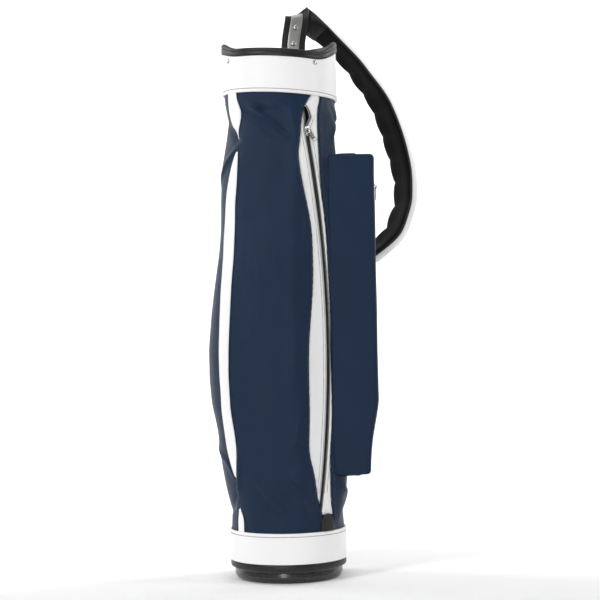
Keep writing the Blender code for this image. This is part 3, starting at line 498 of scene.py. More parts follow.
# ---------------------------------------------------------------- finishes
class Finish:
    """A procedural material under construction."""

    WAVES_PER_UNIT = 3.18  # a wave texture of scale 1 repeats this often in a metre

    def __init__(self, name, roughness, metallic=0.0, **sockets):
        self.mat = bpy.data.materials.new(name)
        self.mat.use_nodes = True
        self.tree = self.mat.node_tree
        self.shader = self.tree.nodes["Principled BSDF"]
        self.shader.inputs["Roughness"].default_value = roughness
        self.shader.inputs["Metallic"].default_value = metallic
        for socket, value in sockets.items():
            self.shader.inputs[socket.replace("_", " ")].default_value = value
        self.place = self.node("TexCoord").outputs["Object"]
        self.height = None

    def node(self, kind, properties=None, inputs=None):
        made = self.tree.nodes.new("ShaderNode" + kind)
        for key, value in (properties or {}).items():
            setattr(made, key, value)
        for key, value in (inputs or {}).items():
            if isinstance(value, bpy.types.NodeSocket):
                self.tree.links.new(value, made.inputs[key])
            else:
                made.inputs[key].default_value = value
        return made

    def math(self, operation, first, second=0.0):
        return self.node("Math", {"operation": operation}, {0: first, 1: second}).outputs[0]

    def spread(self, value, low, high):
        """A 0 to 1 value stretched to run from low to high."""
        return self.node("MapRange", None, {0: value, 3: low, 4: high}).outputs[0]

    def stretched(self, scale):
        return self.node("Mapping", None, {"Vector": self.place, "Scale": scale}).outputs[0]

    def wrapped(self):
        """Coordinates that run round the bag and up it, in metres."""
        split = self.node("SeparateXYZ", None, {0: self.place}).outputs
        turn = self.math("ARCTAN2", split["X"], self.math("MULTIPLY", split["Y"], -1.0))
        along = self.math("MULTIPLY", turn, FLAT_RADIUS)
        return self.node("CombineXYZ", None, {0: along, 1: split["Z"]}).outputs[0]

    def sloped(self):
        """Coordinates for upright flat faces: x + y, and the height."""
        split = self.node("SeparateXYZ", None, {0: self.place}).outputs
        along = self.math("ADD", split["X"], split["Y"])
        return self.node("CombineXYZ", None, {0: along, 1: split["Z"]}).outputs[0]

    def noise(self, scale, detail=3.0, rough=0.5, vector=None):
        inputs = {"Vector": vector or self.place, "Scale": scale, "Detail": detail, "Roughness": rough}
        return self.node("TexNoise", None, inputs).outputs[0]

    def cells(self, size):
        return self.node("TexVoronoi", None, {"Vector": self.place, "Scale": 1.0 / size}).outputs["Distance"]

    def threads(self, vector, pitch, direction):
        """Rounded parallel threads, 0 between them and 1 on their backs."""
        shape = {"bands_direction": direction, "wave_profile": "SIN"}
        scale = 1.0 / (pitch * self.WAVES_PER_UNIT)
        return self.node("TexWave", shape, {"Vector": vector, "Scale": scale}).outputs["Fac"]

    def weave(self, vector, pitch):
        """Plain weave: threads one way or the other, in a chequered order."""
        checker = self.node("TexChecker", None, {"Vector": vector, "Scale": 1.0 / pitch}).outputs["Fac"]
        warp, weft = self.threads(vector, pitch, "X"), self.threads(vector, pitch, "Y")
        return self.node("Mix", {"data_type": "FLOAT"}, {0: checker, 2: warp, 3: weft}).outputs[0]

    def colour(self, share, first, second):
        mix = self.node("Mix", {"data_type": "RGBA"}, {0: share, 6: (*first, 1.0), 7: (*second, 1.0)})
        self.tree.links.new(mix.outputs[2], self.shader.inputs["Base Color"])
        return self

    def rough(self, share, low, high):
        self.tree.links.new(self.spread(share, low, high), self.shader.inputs["Roughness"])
        return self

    def relief(self, value, depth, strength=1.0):
        """Bump of a given depth in metres, stacked on what is there already."""
        inputs = {"Height": value, "Distance": depth, "Strength": strength}
        if self.height is not None:
            inputs["Normal"] = self.height
        self.height = self.node("Bump", None, inputs).outputs[0]
        self.tree.links.new(self.height, self.shader.inputs["Normal"])
        return self


def navy(name, flat):
    made = Finish(name, 0.6, Sheen_Weight=0.02, Sheen_Roughness=0.4, Specular_IOR_Level=0.22)
    cloth = made.sloped() if flat else made.wrapped()
    weave = made.weave(cloth, 0.45 * MM)
    patches = made.noise(9.0, 4.0, 0.55)
    # Colour: random patches of tone, and painted shade in the low gaps between the woven threads
    tone_and_weave_shade = made.math("ADD", made.math("MULTIPLY", patches, 0.75), made.math("MULTIPLY", weave, 0.25))
    made.colour(tone_and_weave_shade, (0.0026, 0.0140, 0.0385), (0.0050, 0.0226, 0.0600))
    made.rough(made.noise(30.0), 0.42, 0.56)
    made.relief(weave, 0.10 * MM, 0.5)
    made.relief(made.noise(75.0, 5.0, 0.6), 0.5 * MM, 0.45)
    made.relief(made.noise(17.0, 3.0, 0.5), 1.6 * MM, 0.5)
    return made.mat


def vinyl(name, light, dark, roughness, grain=0.9 * MM, depth=0.07 * MM):
    made = Finish(name, roughness, Specular_IOR_Level=0.45)
    skin = made.cells(grain)
    made.colour(made.noise(14.0, 5.0, 0.6), dark, light)
    made.rough(made.noise(55.0, 4.0), roughness - 0.07, roughness + 0.08)
    made.relief(made.noise(26.0, 3.0), 0.7 * MM, 0.3)
    made.relief(skin, depth, 0.55)
    made.relief(made.noise(2600.0, 2.0), 0.03 * MM, 0.4)
    return made.mat


def moulding(name):
    made = Finish(name, 0.24, Coat_Weight=0.25, Coat_Roughness=0.12)
    made.colour(made.noise(40.0, 5.0), (0.013, 0.013, 0.014), (0.024, 0.024, 0.025))
    scuffs = made.noise(60.0, 6.0, 0.7, made.stretched((1.0, 1.0, 5.0)))
    made.rough(scuffs, 0.16, 0.36)
    made.relief(made.noise(380.0, 3.0), 0.05 * MM, 0.3)
    return made.mat


def foam(name):
    made = Finish(name, 0.75, Specular_IOR_Level=0.12)
    mesh_cells = made.cells(1.3 * MM)
    made.colour(made.noise(35.0, 4.0), (0.0026, 0.0026, 0.0028), (0.0066, 0.0066, 0.007))
    made.rough(mesh_cells, 0.58, 0.85)
    made.relief(made.noise(60.0, 4.0), 0.6 * MM, 0.4)
    made.relief(mesh_cells, 0.22 * MM, 0.8)
    return made.mat


def webbing(name, light, dark):
    made = Finish(name, 0.72, Sheen_Weight=0.15, Specular_IOR_Level=0.35)
    cloth = made.sloped()
    ribs_and_shade = made.threads(cloth, 1.5 * MM, "Y")
    fine = made.weave(cloth, 0.6 * MM)
    # Painted shade: the webbing is darker in the grooves between its ribs and lighter on their backs
    made.colour(ribs_and_shade, dark, light)
    made.relief(ribs_and_shade, 0.35 * MM, 0.7)
    made.relief(fine, 0.12 * MM, 0.6)
    return made.mat


def fleece(name):
    made = Finish(name, 0.9, Sheen_Weight=0.45, Sheen_Roughness=0.4, Specular_IOR_Level=0.2)
    pile = made.noise(1300.0, 4.0, 0.7)
    made.colour(made.noise(50.0, 5.0, 0.6), (0.062, 0.062, 0.066), (0.12, 0.12, 0.125))
    made.relief(made.noise(160.0, 4.0), 0.9 * MM, 0.5)
    made.relief(pile, 0.35 * MM, 0.8)
    return made.mat


def metal(name, light, dark, low, high, brushed=(1.0, 1.0, 1.0)):
    made = Finish(name, (low + high) / 2, 1.0)
    marks = made.noise(420.0, 6.0, 0.7, made.stretched(brushed))
    made.colour(made.noise(120.0, 4.0), dark, light)
    made.rough(marks, low, high)
    made.relief(marks, 0.02 * MM, 0.35)
    return made.mat


def thread(name, light, dark):
    made = Finish(name, 0.6, Sheen_Weight=0.2)
    twist = made.threads(made.place, 0.5 * MM, "DIAGONAL")
    # Painted shade: the thread is darker in the grooves of its twist and lighter on its plies
    made.colour(twist, dark, light)
    made.relief(twist, 0.06 * MM, 0.6)
    return made.mat


FINISHES = {
    "navy_fabric": navy("navy_fabric", False),
    "navy_pocket": navy("navy_pocket", True),
    "white_vinyl": vinyl("white_vinyl", (0.95, 0.95, 0.945), (0.905, 0.905, 0.90), 0.42),
    "black_vinyl": vinyl("black_vinyl", (0.0090, 0.0090, 0.0094), (0.0042, 0.0042, 0.0045), 0.42),
    "black_moulding": moulding("black_moulding"),
    "black_pad": foam("black_pad"),
    "black_webbing": webbing("black_webbing", (0.018, 0.018, 0.019), (0.007, 0.007, 0.008)),
    "grey_lining": fleece("grey_lining"),
    "stiffener_plastic": vinyl("stiffener_plastic", (0.06, 0.06, 0.062), (0.04, 0.04, 0.042), 0.55,
                               0.6 * MM),
    "zip_coil": vinyl("zip_coil", (0.032, 0.033, 0.032), (0.018, 0.018, 0.018), 0.38, 0.4 * MM, 0.03 * MM),
    "nickel": metal("nickel", (0.62, 0.62, 0.60), (0.46, 0.46, 0.45), 0.16, 0.38),
    "dark_bronze": metal("dark_bronze", (0.17, 0.17, 0.14), (0.09, 0.09, 0.07), 0.26, 0.5),
    "grey_stay": metal("grey_stay", (0.52, 0.52, 0.515), (0.38, 0.38, 0.375), 0.3, 0.52, (1.0, 1.0, 0.06)),
    "grey_thread": thread("grey_thread", (0.36, 0.36, 0.35), (0.2, 0.2, 0.2)),
    "white_thread": thread("white_thread", (0.86, 0.86, 0.85), (0.66, 0.66, 0.65)),
    "navy_thread": thread("navy_thread", (0.03, 0.05, 0.09), (0.015, 0.025, 0.05)),
    "black_thread": thread("black_thread", (0.05, 0.05, 0.052), (0.02, 0.02, 0.021)),
}


# ---------------------------------------------------------------- fabric tube
LEVEL_STEP = 2.5 * MM
TUBE_LOW, TUBE_HIGH = 33 * MM, 799 * MM
FABRIC = 1.5 * MM
FABRIC_COLUMN = 3 * MM
SEAM_REACH = 7 * MM
TURN_IN = 1.5 * MM
OVERLAP = 1.3 * MM
VINYL = 0.6 * MM
STRIPE_COLUMNS = 9
STRIPE_NARROW = 3.0 * MM


def levels_between(low, high):
    return np.linspace(low, high, int(round((high - low) / LEVEL_STEP)) + 1)


def panel(name, start, end, raised=(0.0, 0.0)):
    """Fabric between two seams. raised is how far each edge stands up, turned under at its very end."""
    z = levels_between(TUBE_LOW, TUBE_HIGH)[:, None]
    first, last = start(z), end(z)
    count = int(np.max(last - first) / arc(FABRIC_COLUMN)) + 2
    angle = first + (last - first) * np.linspace(0, 1, count)[None, :]
    height = 0 * angle
    for from_edge, rise in ((angle - first, raised[0]), (last - angle, raised[1])):
        distance = from_edge * FLAT_RADIUS
        height = height + rise * bell(distance, SEAM_REACH) + pucker(distance, z)
        height = height - (rise > 0) * TURN_IN * (distance < 0.01 * MM)
    obj = sheet(name, body_point(angle, z, height), "navy_fabric", FABRIC, (name,))


def straight(angle):
    return lambda z: angle + 0 * z


def seam_line(angle_of, low, high, offset, lift):
    """Path up the fabric beside a seam, from low to high in mm, and the ways out of the fabric."""
    z = np.arange(low * MM, high * MM, 2 * MM)
    path = body_point(angle_of(z) + arc(offset * MM), z, lift * MM)
    return path, outwards(path)


def make_panels():
    overlap = arc(OVERLAP)
    panel("left_panel", straight(LEFT_SEAM), lambda z: stripe_left(z) + overlap)
    panel("front_panel", lambda z: stripe_right(z) - overlap, front_edge, raised=(0, 1.5 * MM))
    panel("right_panel", right_edge, straight(REAR_SEAM), raised=(1.5 * MM, 0))
    panel("back_panel", straight(REAR_SEAM), straight(LEFT_SEAM + math.tau))


def make_stripe():
    """White insert that dips under the fabric where it is narrowest."""
    z = levels_between(TUBE_LOW, TUBE_HIGH)[:, None]
    share = np.linspace(0, 1, STRIPE_COLUMNS)[None, :]
    across = stripe_right(z) - stripe_left(z)
    wide = ease(0.5 * STRIPE_NARROW, 1.6 * STRIPE_NARROW, across * FLAT_RADIUS)
    lift = 1.1 * MM - 2.6 * MM * (1 - wide) + 0.35 * MM * np.sin(math.pi * share)
    points = body_point(stripe_left(z) + across * share, z, lift)
    sheet("white_stripe", points, "white_vinyl", VINYL, ("white_stripe",))
    rows = []
    for low, high in ((86, 108), (176, 682), (718, 770)):
        rows.append(seam_line(stripe_left, low, high, 2.0, 0.95))
        rows.append(seam_line(stripe_right, low, high, -2.0, 0.95))
    stitch_row("stripe_stitches", rows, "white_thread", "bag")


def make_panel_stitches():
    rows = []
    for seam in (LEFT_SEAM, REAR_SEAM):
        rows += [seam_line(straight(seam), 84, 770, offset, 0.2) for offset in (-2.5, 2.5)]
    rows += [seam_line(front_edge, 84, 768, -3.2, 1.3), seam_line(right_edge, 112, 768, 3.2, 1.3)]
    stitch_row("panel_stitches", rows, "navy_thread", "bag")


# ---------------------------------------------------------------- long zip
ROW_GAP = 0.55 * MM
LEFT_SPREAD, RIGHT_SPREAD = 4.0 * MM, 12.0 * MM
TAPE_COLUMNS = 15
TAPE_UNDER = 3.5 * MM
TAPE_BOTTOM = 106 * MM
STITCH_OFFSETS = ((4.4, 0.1), (9.6, 0.7))  # mm from the coil, and out of the tape
CHAIN_BOTTOM, CHAIN_TOP = 113 * MM, 756 * MM
COIL_PITCH, COIL_LENGTH, COIL_MIDDLE = 1.5 * MM, 2.5 * MM, 1.3 * MM
PATCH_ANGLE, PATCH_HALF = math.radians(42.6), math.radians(8.2)


def opening(z):
    """0 where the long zip is closed, 1 in the middle of its open mouth."""
    return ease(OPEN_FROM, 738 * MM, z) * (1 - 0.85 * ease(744 * MM, 762 * MM, z))


def left_row(z):
    return zip_angle(z) + arc(LEFT_SPREAD) * opening(z) - arc(ROW_GAP)


def right_row(z):
    return zip_angle(z) + arc(RIGHT_SPREAD) * opening(z) + arc(ROW_GAP)


def make_tape(name, start, end, low, high, zip_at_end):
    """Tape with a stitched groove beside the coil and a soft lip past it, tucked under the fabric."""
    z = levels_between(low, high)[:, None]
    first = start(z)
    last = np.maximum(end(z), first + arc(0.5 * MM))
    angle = first + (last - first) * np.linspace(0, 1, TAPE_COLUMNS)[None, :]
    from_zip = ((last - angle) if zip_at_end else (angle - first)) * FLAT_RADIUS
    lip = 0.9 * MM * bell(from_zip - 8 * MM, 2.6 * MM)
    groove = -0.2 * MM * bell(from_zip - 4.4 * MM, 0.8 * MM)
    loose = ease(4.5 * MM, 8 * MM, from_zip) * pucker(from_zip, z, 14 * MM, 17 * MM, 0.4 * MM)
    hidden = 1 - ease(front_edge(z), front_edge(z) + arc(2.5 * MM), angle)
    hidden = hidden + ease(right_edge(z) - arc(2.5 * MM), right_edge(z), angle)
    free = ease(ZIP_BOTTOM, ZIP_BOTTOM + 12 * MM, z)
    lift = (lip + groove + loose - 0.1 * MM - 2.4 * MM * hidden) * free - 0.4 * MM * (1 - free)
    sheet(name, body_point(angle, z, lift), "white_vinyl", VINYL, (name,))


def make_tapes():
    under = arc(TAPE_UNDER)
    top = ZIP_TOP + 12 * MM
    make_tape("zip_tape_left", lambda z: front_edge(z) - under, left_row, ZIP_BOTTOM, top, True)
    make_tape("zip_tape_right", right_row, lambda z: right_edge(z) + under, TAPE_BOTTOM, TUBE_HIGH, False)
    rows = []
    for row, sign in ((left_row, -1), (right_row, 1)):
        rows += [seam_line(row, 140, 742, sign * offset, lift) for offset, lift in STITCH_OFFSETS]
    stitch_row("zip_stitches", rows, "black_thread", "bag", 2.8 * MM, 0.6 * MM, 0.36 * MM)


def make_zip_core():
    """Dark strip under the coils, wider near the top and gone at the slider."""
    z = levels_between(ZIP_BOTTOM, CHAIN_TOP)[:, None]
    half = (2.2 * MM + 1.9 * MM * ease(520 * MM, 620 * MM, z)) * (1 - 0.9 * ease(700 * MM, 716 * MM, z))
    side = np.linspace(-1, 1, 9)[None, :]
    core = body_point(zip_angle(z) + arc(side * half), z, 0.1 * MM - 0.35 * MM * side**4)
    sheet("zip_core", core, "black_webbing", 0.3 * MM)


def make_chains():
    facing = np.array((math.sin(ZIP_ANGLE), -math.cos(ZIP_ANGLE), 0.0))
    for name, row, sign in (("zip_chain_left", left_row, -1), ("zip_chain_right", right_row, 1)):
        places = []
        z = CHAIN_BOTTOM + (0.5 * COIL_PITCH if sign > 0 else 0.0)
        while z < CHAIN_TOP:
            spot = body_point(row(z) + sign * arc(COIL_MIDDLE), z, 1.0 * MM)
            out = unit(outwards(spot) * 0.4 + facing * 0.6)
            places.append((spot, np.cross(UP, out), UP, out))
            z += COIL_PITCH
        merged_bars(name, places, (COIL_LENGTH, 1.15 * MM, 1.6 * MM), "zip_coil")


def make_end_patch():
    """Domed patch over the lower end of the zip."""
    low, high = (corner.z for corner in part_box("zip_end_patch"))
    z = np.linspace(low, high, 25)[:, None]
    share = (z - low) / (high - low)
    half = PATCH_HALF * np.sqrt(np.clip(1 - share**3, 0.012, 1))
    side = np.linspace(-1, 1, 17)[None, :]
    bulge = 3.4 * MM + 1.3 * MM * (1 - np.abs(side) ** 3) * (1 - share**4)
    patch = body_point(PATCH_ANGLE + half * side, z, bulge)
    sheet("zip_end_patch", patch, "black_vinyl", 1.2 * MM, ("zip_end_patch",))
    inset, height = 0.86 * half[:-3, 0], z[:-3, 0]
    left, right = (body_point(PATCH_ANGLE + edge * inset, height, 4.1 * MM) for edge in (-1, 1))
    path = np.concatenate((left, right[::-1]))
    sizes = 2.4 * MM, 0.8 * MM, 0.3 * MM
    stitch_row("patch_stitches", [(path, outwards(path))], "black_thread", "bag", *sizes)


# ---------------------------------------------------------------- collar and base
RING_ANGLES = np.linspace(0, math.tau, 240, endpoint=False)
CAD_AROUND = 48
CUFF_WALL = 2.0 * MM
HEM_GROOVE = 5.6
# Rolled hem: (mm from the cuff's end, mm out of its face)
HEM = ((0.0, -0.9), (0.35, -0.25), (0.9, 0.35), (1.8, 0.7), (3.2, 0.7), (4.6, 0.3), (5.2, -0.35),
       (HEM_GROOVE, -0.9), (6.0, -0.35), (6.6, 0.2), (8.0, 0.3), (11.0, 0.1))
COLLAR_FLARE = 0.5 * MM
# Section of the rim: (mm out of its face, share of its height)
RIM = ((-0.9, 0.02), (-0.3, -0.03), (0.25, 0.04), (0.55, 0.2), (0.6, 0.38), (0.2, 0.5), (-0.25, 0.56),
       (0.15, 0.62), (0.45, 0.72), (0.1, 0.86), (-1.0, 0.95), (-2.6, 1.0), (-5.0, 1.015), (-7.4, 0.98),
       (-9.0, 0.9), (-9.6, 0.75), (-9.4, 0.4), (-9.0, 0.02), (-5.0, 0.0))
RIM_SEAM = 0.56
HOOP_WALL = 2.976 * MM
RIVET_RADIUS = 4.0 * MM
BASE_SEAM_ANGLE = math.radians(-8)
BAND_INNER = 89.7 * MM
# Section of the foot cup in mm: (radius, height), with the round edge between the first two runs
CUP_UNDER = ((NEAR_AXIS / MM, 1.6), (66, 1.6), (69, 0.25), (73, 0.0), (77, 0.1))
CUP_OUTSIDE = ((87.2, 10.4), (86.4, 16.4), (88.2, 17.6), (88.9, 18.6), (89.0, 20.0), (89.3, 21))
CUP_INSIDE = ((87, 26), (85, 21), (83, 18), (82, 8), (78, 5.2), (NEAR_AXIS / MM, 5.0))


def ring_level(node, pick):
    """Height of a CAD ring's upper or lower edge all round, picked by max or min from its own corners."""
    groups = {}
    for v in NODES[node].data.vertices:
        turn = math.atan2(v.co.x, -v.co.y) % math.tau / math.tau
        groups.setdefault(round(turn * CAD_AROUND) % CAD_AROUND, []).append(v.co.z)
    known = sorted(groups)
    heights = [pick(groups[k]) for k in known]
    angles = np.array(known) * math.tau / CAD_AROUND
    return blurred(np.interp(RING_ANGLES, angles, heights, period=math.tau), 0, 2.2, True)


def closed_ring(name, section, finish):
    """Ring whose section is a closed loop of radii and heights, each a number or a value all round."""
    points = [around(radius + 0 * RING_ANGLES, RING_ANGLES, height) for radius, height in section]
    section_loft(name, points, finish, "bag", (name,), ring=True)


def ring_stitches(name, radius, height, *sizes):
    path = around(radius, RING_ANGLES, height)
    path = np.concatenate((path, path[:1]))
    stitch_row(name, [(path, outwards(path))], "black_thread", "bag", *sizes)


def cuff(name, outer, wall, hem_end, plain_end, extra):
    """Stiff vinyl cuff with a rolled, stitched hem and a plain edge. extra widens it towards the hem."""
    step = MM if np.mean(plain_end) > np.mean(hem_end) else -MM
    section = [(outer + out * MM + extra, hem_end + mark * step) for mark, out in HEM]
    last = section[-1][1]
    for share in np.arange(1, 11) / 10:
        section.append((outer + extra * (1 - share), last + (plain_end - last) * share))
    inner, thinned = outer - wall, outer - wall + 0.2 * MM
    section += [(thinned, plain_end), (inner, (plain_end + hem_end) / 2), (thinned, hem_end)]
    closed_ring(name, section, "white_vinyl")
    ring_stitches(f"{name}_stitches", outer + extra - 0.5 * MM, hem_end + HEM_GROOVE * step,
                  3.2 * MM, 0.5 * MM, 0.42 * MM)


def rivet(name, centre, outward, height=2.0 * MM, body="bag"):
    """Domed cap with a thin rolled edge."""
    flange = 0.65 * MM
    profile = [(NEAR_AXIS, 0.0), (RIVET_RADIUS * 0.94, 0.0)]
    profile += [(RIVET_RADIUS, 0.25 * MM), (RIVET_RADIUS * 0.99, 0.6 * MM)]
    for turn in np.radians(range(15, 91, 15)):
        radius = max(RIVET_RADIUS * 0.9 * math.cos(turn), NEAR_AXIS)
        profile.append((radius, flange + (height - flange) * math.sin(turn)))
    out = unit(np.array(outward, float))
    side = unit(np.cross(UP, out)) if abs(out[2]) < 0.9 else np.array((1.0, 0.0, 0.0))
    matrix = np.array((side, np.cross(out, side), out)), np.array(centre)
    turned_piece(name, profile, "nickel", body, matrix, 32)


def box_middle(node):
    low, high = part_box(node)
    return (np.array(low) + np.array(high)) / 2


def make_collar():
    low, high = ring_level("collar_cuff", min), ring_level("collar_cuff", max)
    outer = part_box("collar_cuff")[1].x
    cuff("collar_cuff", outer, CUFF_WALL, low, high, COLLAR_FLARE)
    make_rim()
    make_hoop()
    for name in ("collar_rivet_left", "collar_rivet_right"):
        centre = box_middle(name)
        out = outwards(centre)
        rivet(name, out * (outer + 0.2 * MM) + UP * centre[2], out)


def make_rim():
    """Folded vinyl binding with a stitched groove round its outside."""
    low = ring_level("rim_trim", min)
    tall = ring_level("rim_trim", max) - low
    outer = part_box("rim_trim")[1].x
    wave = 0.25 * MM * np.sin(9 * RING_ANGLES + 1.0) + 0.2 * MM * np.sin(17 * RING_ANGLES)
    section = [(outer + out * MM + wave, low + share * tall) for out, share in RIM]
    closed_ring("rim_trim", section, "black_vinyl")
    ring_stitches("rim_stitches", outer + 0.1 * MM, low + RIM_SEAM * tall, 3.0 * MM, 0.9 * MM, 0.3 * MM)


def make_hoop():
    """Lined hoop inside the collar, its lining slightly rippled."""
    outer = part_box("collar_hoop")[1].x
    low, high = ring_level("collar_hoop", min), ring_level("collar_hoop", max)
    ripple = 0.35 * MM * np.sin(11 * RING_ANGLES) + 0.3 * MM * np.sin(19 * RING_ANGLES + 2)
    section = []
    for share in np.linspace(0, 1, 14):
        swell = 0.5 * MM * math.sin(3 * math.pi * share)
        section.append((outer - HOOP_WALL + ripple + swell, low + (high - low) * share))
    closed_ring("collar_hoop", section + [(outer, high), (outer, low)], "grey_lining")


def make_base():
    low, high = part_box("base_cuff")
    from_seam = ((RING_ANGLES - BASE_SEAM_ANGLE + math.pi) % math.tau - math.pi) * BASE_RADIUS
    seam = 0.3 * MM * bell(from_seam, 4 * MM) - 0.45 * MM * bell(from_seam, 0.9 * MM)
    cuff("base_cuff", high.x + 0.3 * MM, CUFF_WALL + 0.3 * MM, high.z, low.z, seam)
    make_band()
    make_cup()


def make_band():
    low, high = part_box("base_band")
    middle, half = (low.z + high.z) / 2, (high.z - low.z) / 2
    profile = [(BAND_INNER, low.z)]
    for turn in np.radians(range(-90, 91, 15)):
        radius = high.x - 1.6 * MM + 2.2 * MM * math.cos(turn) ** 0.7
        profile.append((radius, middle + half * math.sin(turn)))
    turned_piece("base_band", profile + [(BAND_INNER, high.z)], "black_vinyl")


def make_cup():
    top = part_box("base_cup")[1].z / MM
    turns = np.radians(np.linspace(0, 90, 9)[1:])
    edge = [(77 + 10 * math.sin(t), 10.2 - 10.2 * math.cos(t)) for t in turns]
    lip = [(89.3, top - 0.6), (88.7, top), (87.4, top), (87, top - 0.6)]
    section = [*CUP_UNDER, *edge, *CUP_OUTSIDE, *lip, *CUP_INSIDE]
    turned_piece("base_cup", [(radius * MM, z * MM) for radius, z in section], "black_moulding")


# ---------------------------------------------------------------- side pocket
POCKET_HALF = 55 * MM
POCKET_FACE = Curve(((166, 134.2), (220, 137.5), (280, 147.5), (300, 148), (640, 148), (679, 149)))
POCKET_LOW, POCKET_HIGH = 166 * MM, 679 * MM
POCKET_CORNER = 7 * MM
FACE_CORNER = 5 * MM
POCKET_TUCK = 1.5 * MM
PLAIN_RADIUS = 90 * MM
POCKET_ZIP_LOW, POCKET_ZIP_HIGH = 300 * MM, 640 * MM
POCKET_NODES = ("pocket_front", "pocket_back", "pocket_top", "pocket_bottom", "pocket_face_front",
                "pocket_face_back")
CORNER_TURNS = np.radians(np.linspace(0, 90, 7))
SIDE_SHARES = np.linspace(0, 1, 14)[:-1]
FACE_SHARES = np.linspace(-1, 1, 43)[1:-1]
CAP_SHARES = (0.0, 0.12, 0.35, 0.6, 0.8, 0.93)


def tube_x(y, z):
    """Where the tube's right side lies at a given y and height, tucked in a little."""
    x = np.sqrt(PLAIN_RADIUS**2 - y**2)
    for _ in range(4):
        angle = np.arctan2(x, -y)
        x = np.sqrt(np.maximum((shell(angle, z) + folds(angle, z)) ** 2 - y**2, 1e-6))
    return x - POCKET_TUCK


def pocket_swell(y, z):
    """Soft fullness of the face, with shallow upright folds."""
    across = 1 - (y / POCKET_HALF) ** 2
    full = 2.0 * MM * ease(POCKET_LOW, 260 * MM, z) * (1 - ease(600 * MM, POCKET_HIGH, z))
    upright = 0.9 * MM * np.sin(y * 75 + 3 * np.sin(z * 9)) * np.sin(z * 13 + 1)
    beside_zip = 1 - np.exp(-((y / (17 * MM)) ** 4))
    return (full + upright + 0.5 * MM * np.sin(z * 37 + y * 40)) * across * beside_zip


def pocket_point(y, z, lift):
    return np.stack((POCKET_FACE(z) + pocket_swell(y, z) + lift, y + 0 * z, z + 0 * y), -1)


def beside_pocket_zip(z, run):
    """1 beside the zip, falling to 0 over a run past each of its ends."""
    low, high = POCKET_ZIP_LOW, POCKET_ZIP_HIGH
    return ease(low - run, low, z) * (1 - ease(high, high + run, z))


def pocket_levels():
    """Height of each row of the shell, and how far the row is drawn in there."""
    rounds = [(POCKET_CORNER * (1 - math.cos(t)), POCKET_CORNER * (1 - math.sin(t))) for t in CORNER_TURNS]
    heights = np.linspace(POCKET_LOW + POCKET_CORNER, POCKET_HIGH - POCKET_CORNER, 126)[1:-1]
    levels = [(POCKET_LOW + rise, inset) for rise, inset in rounds] + [(z, 0.0) for z in heights]
    return levels + [(POCKET_HIGH - rise, inset) for rise, inset in rounds[::-1]]


def pocket_row(z, inset):
    """Points at one height, from the tube along the front wall, over the face and back to the tube."""
    half, face = POCKET_HALF - inset, POCKET_FACE(z) - inset
    edge = face - FACE_CORNER
    soft = inset < 1 * MM
    near, far = tube_x(-half, z), tube_x(half, z)
    front, back, middle = [], [], []
    for share in SIDE_SHARES:
        belly = MM * math.sin(math.pi * share) * soft
        x = near + (edge - near) * share
        puff = 1.1 * (1 + 0.6 * math.sin(z * 29)) + 0.7 * math.sin(z * 71 + x * 60)
        front.append((x, -half - belly * puff, z))
        back.append((far + (edge - far) * share, half + belly * (1 + 0.6 * math.sin(z * 31 + 2)), z))
    for share in FACE_SHARES:
        y = (half - FACE_CORNER) * share
        well = 2.4 * MM * (1 - ease(12.2 * MM, 13.4 * MM, abs(y))) * beside_pocket_zip(z, 2 * MM)
        lip = 0.7 * MM * bell(abs(y) - 15 * MM, 1.6 * MM) * beside_pocket_zip(z, 6 * MM)
        middle.append((face + pocket_swell(y, z) * soft + lip - well, y, z))
    bend = []
    for turn in CORNER_TURNS:
        bend.append((edge + FACE_CORNER * math.sin(turn), half - FACE_CORNER * (1 - math.cos(turn)), z))
    return front + [(x, -y, z) for x, y, z in bend] + middle + bend[::-1] + back[::-1]


def pocket_cap(row):
    """Rows that close the shell at its top or bottom, from the tube out to its outline."""
    base = row.copy()
    base[:, 0] = tube_x(base[:, 1], base[:, 2])
    return [base + (row - base) * share for share in CAP_SHARES]


def make_pocket():
    """One shell over the pocket's walls: round corners, and closed rows at top and bottom."""
    rows = np.array([pocket_row(z, inset) for z, inset in pocket_levels()])
    grid = np.array(pocket_cap(rows[0]) + list(rows) + pocket_cap(rows[-1])[::-1])
    obj = sheet("side_pocket", grid, "navy_pocket", FABRIC, POCKET_NODES)
    walls = float(np.mean(POCKET_FACE(np.linspace(POCKET_LOW, POCKET_HIGH, 20)))) - 75 * MM


def make_pocket_stitches():
    out = np.array((1.0, 0.0, 0.0))
    low, high, side = POCKET_LOW + 9 * MM, POCKET_HIGH - 9 * MM, 47.5 * MM
    z = np.arange(POCKET_ZIP_LOW - 8 * MM, POCKET_ZIP_HIGH + 8 * MM, 3 * MM)
    rows = [(pocket_point(y + 0 * z, z, 0.65 * MM), out) for y in (-15.5 * MM, 15.5 * MM)]
    z = np.arange(low, high, 3 * MM)
    rows += [(pocket_point(y + 0 * z, z, 0.2 * MM), out) for y in (-side, side)]
    y = np.arange(-side, side + 0.1 * MM, 3 * MM)
    rows += [(pocket_point(y, z + 0 * y, 0.2 * MM), out) for z in (low, high)]
    stitch_row("pocket_stitches", rows, "navy_thread", "bag")


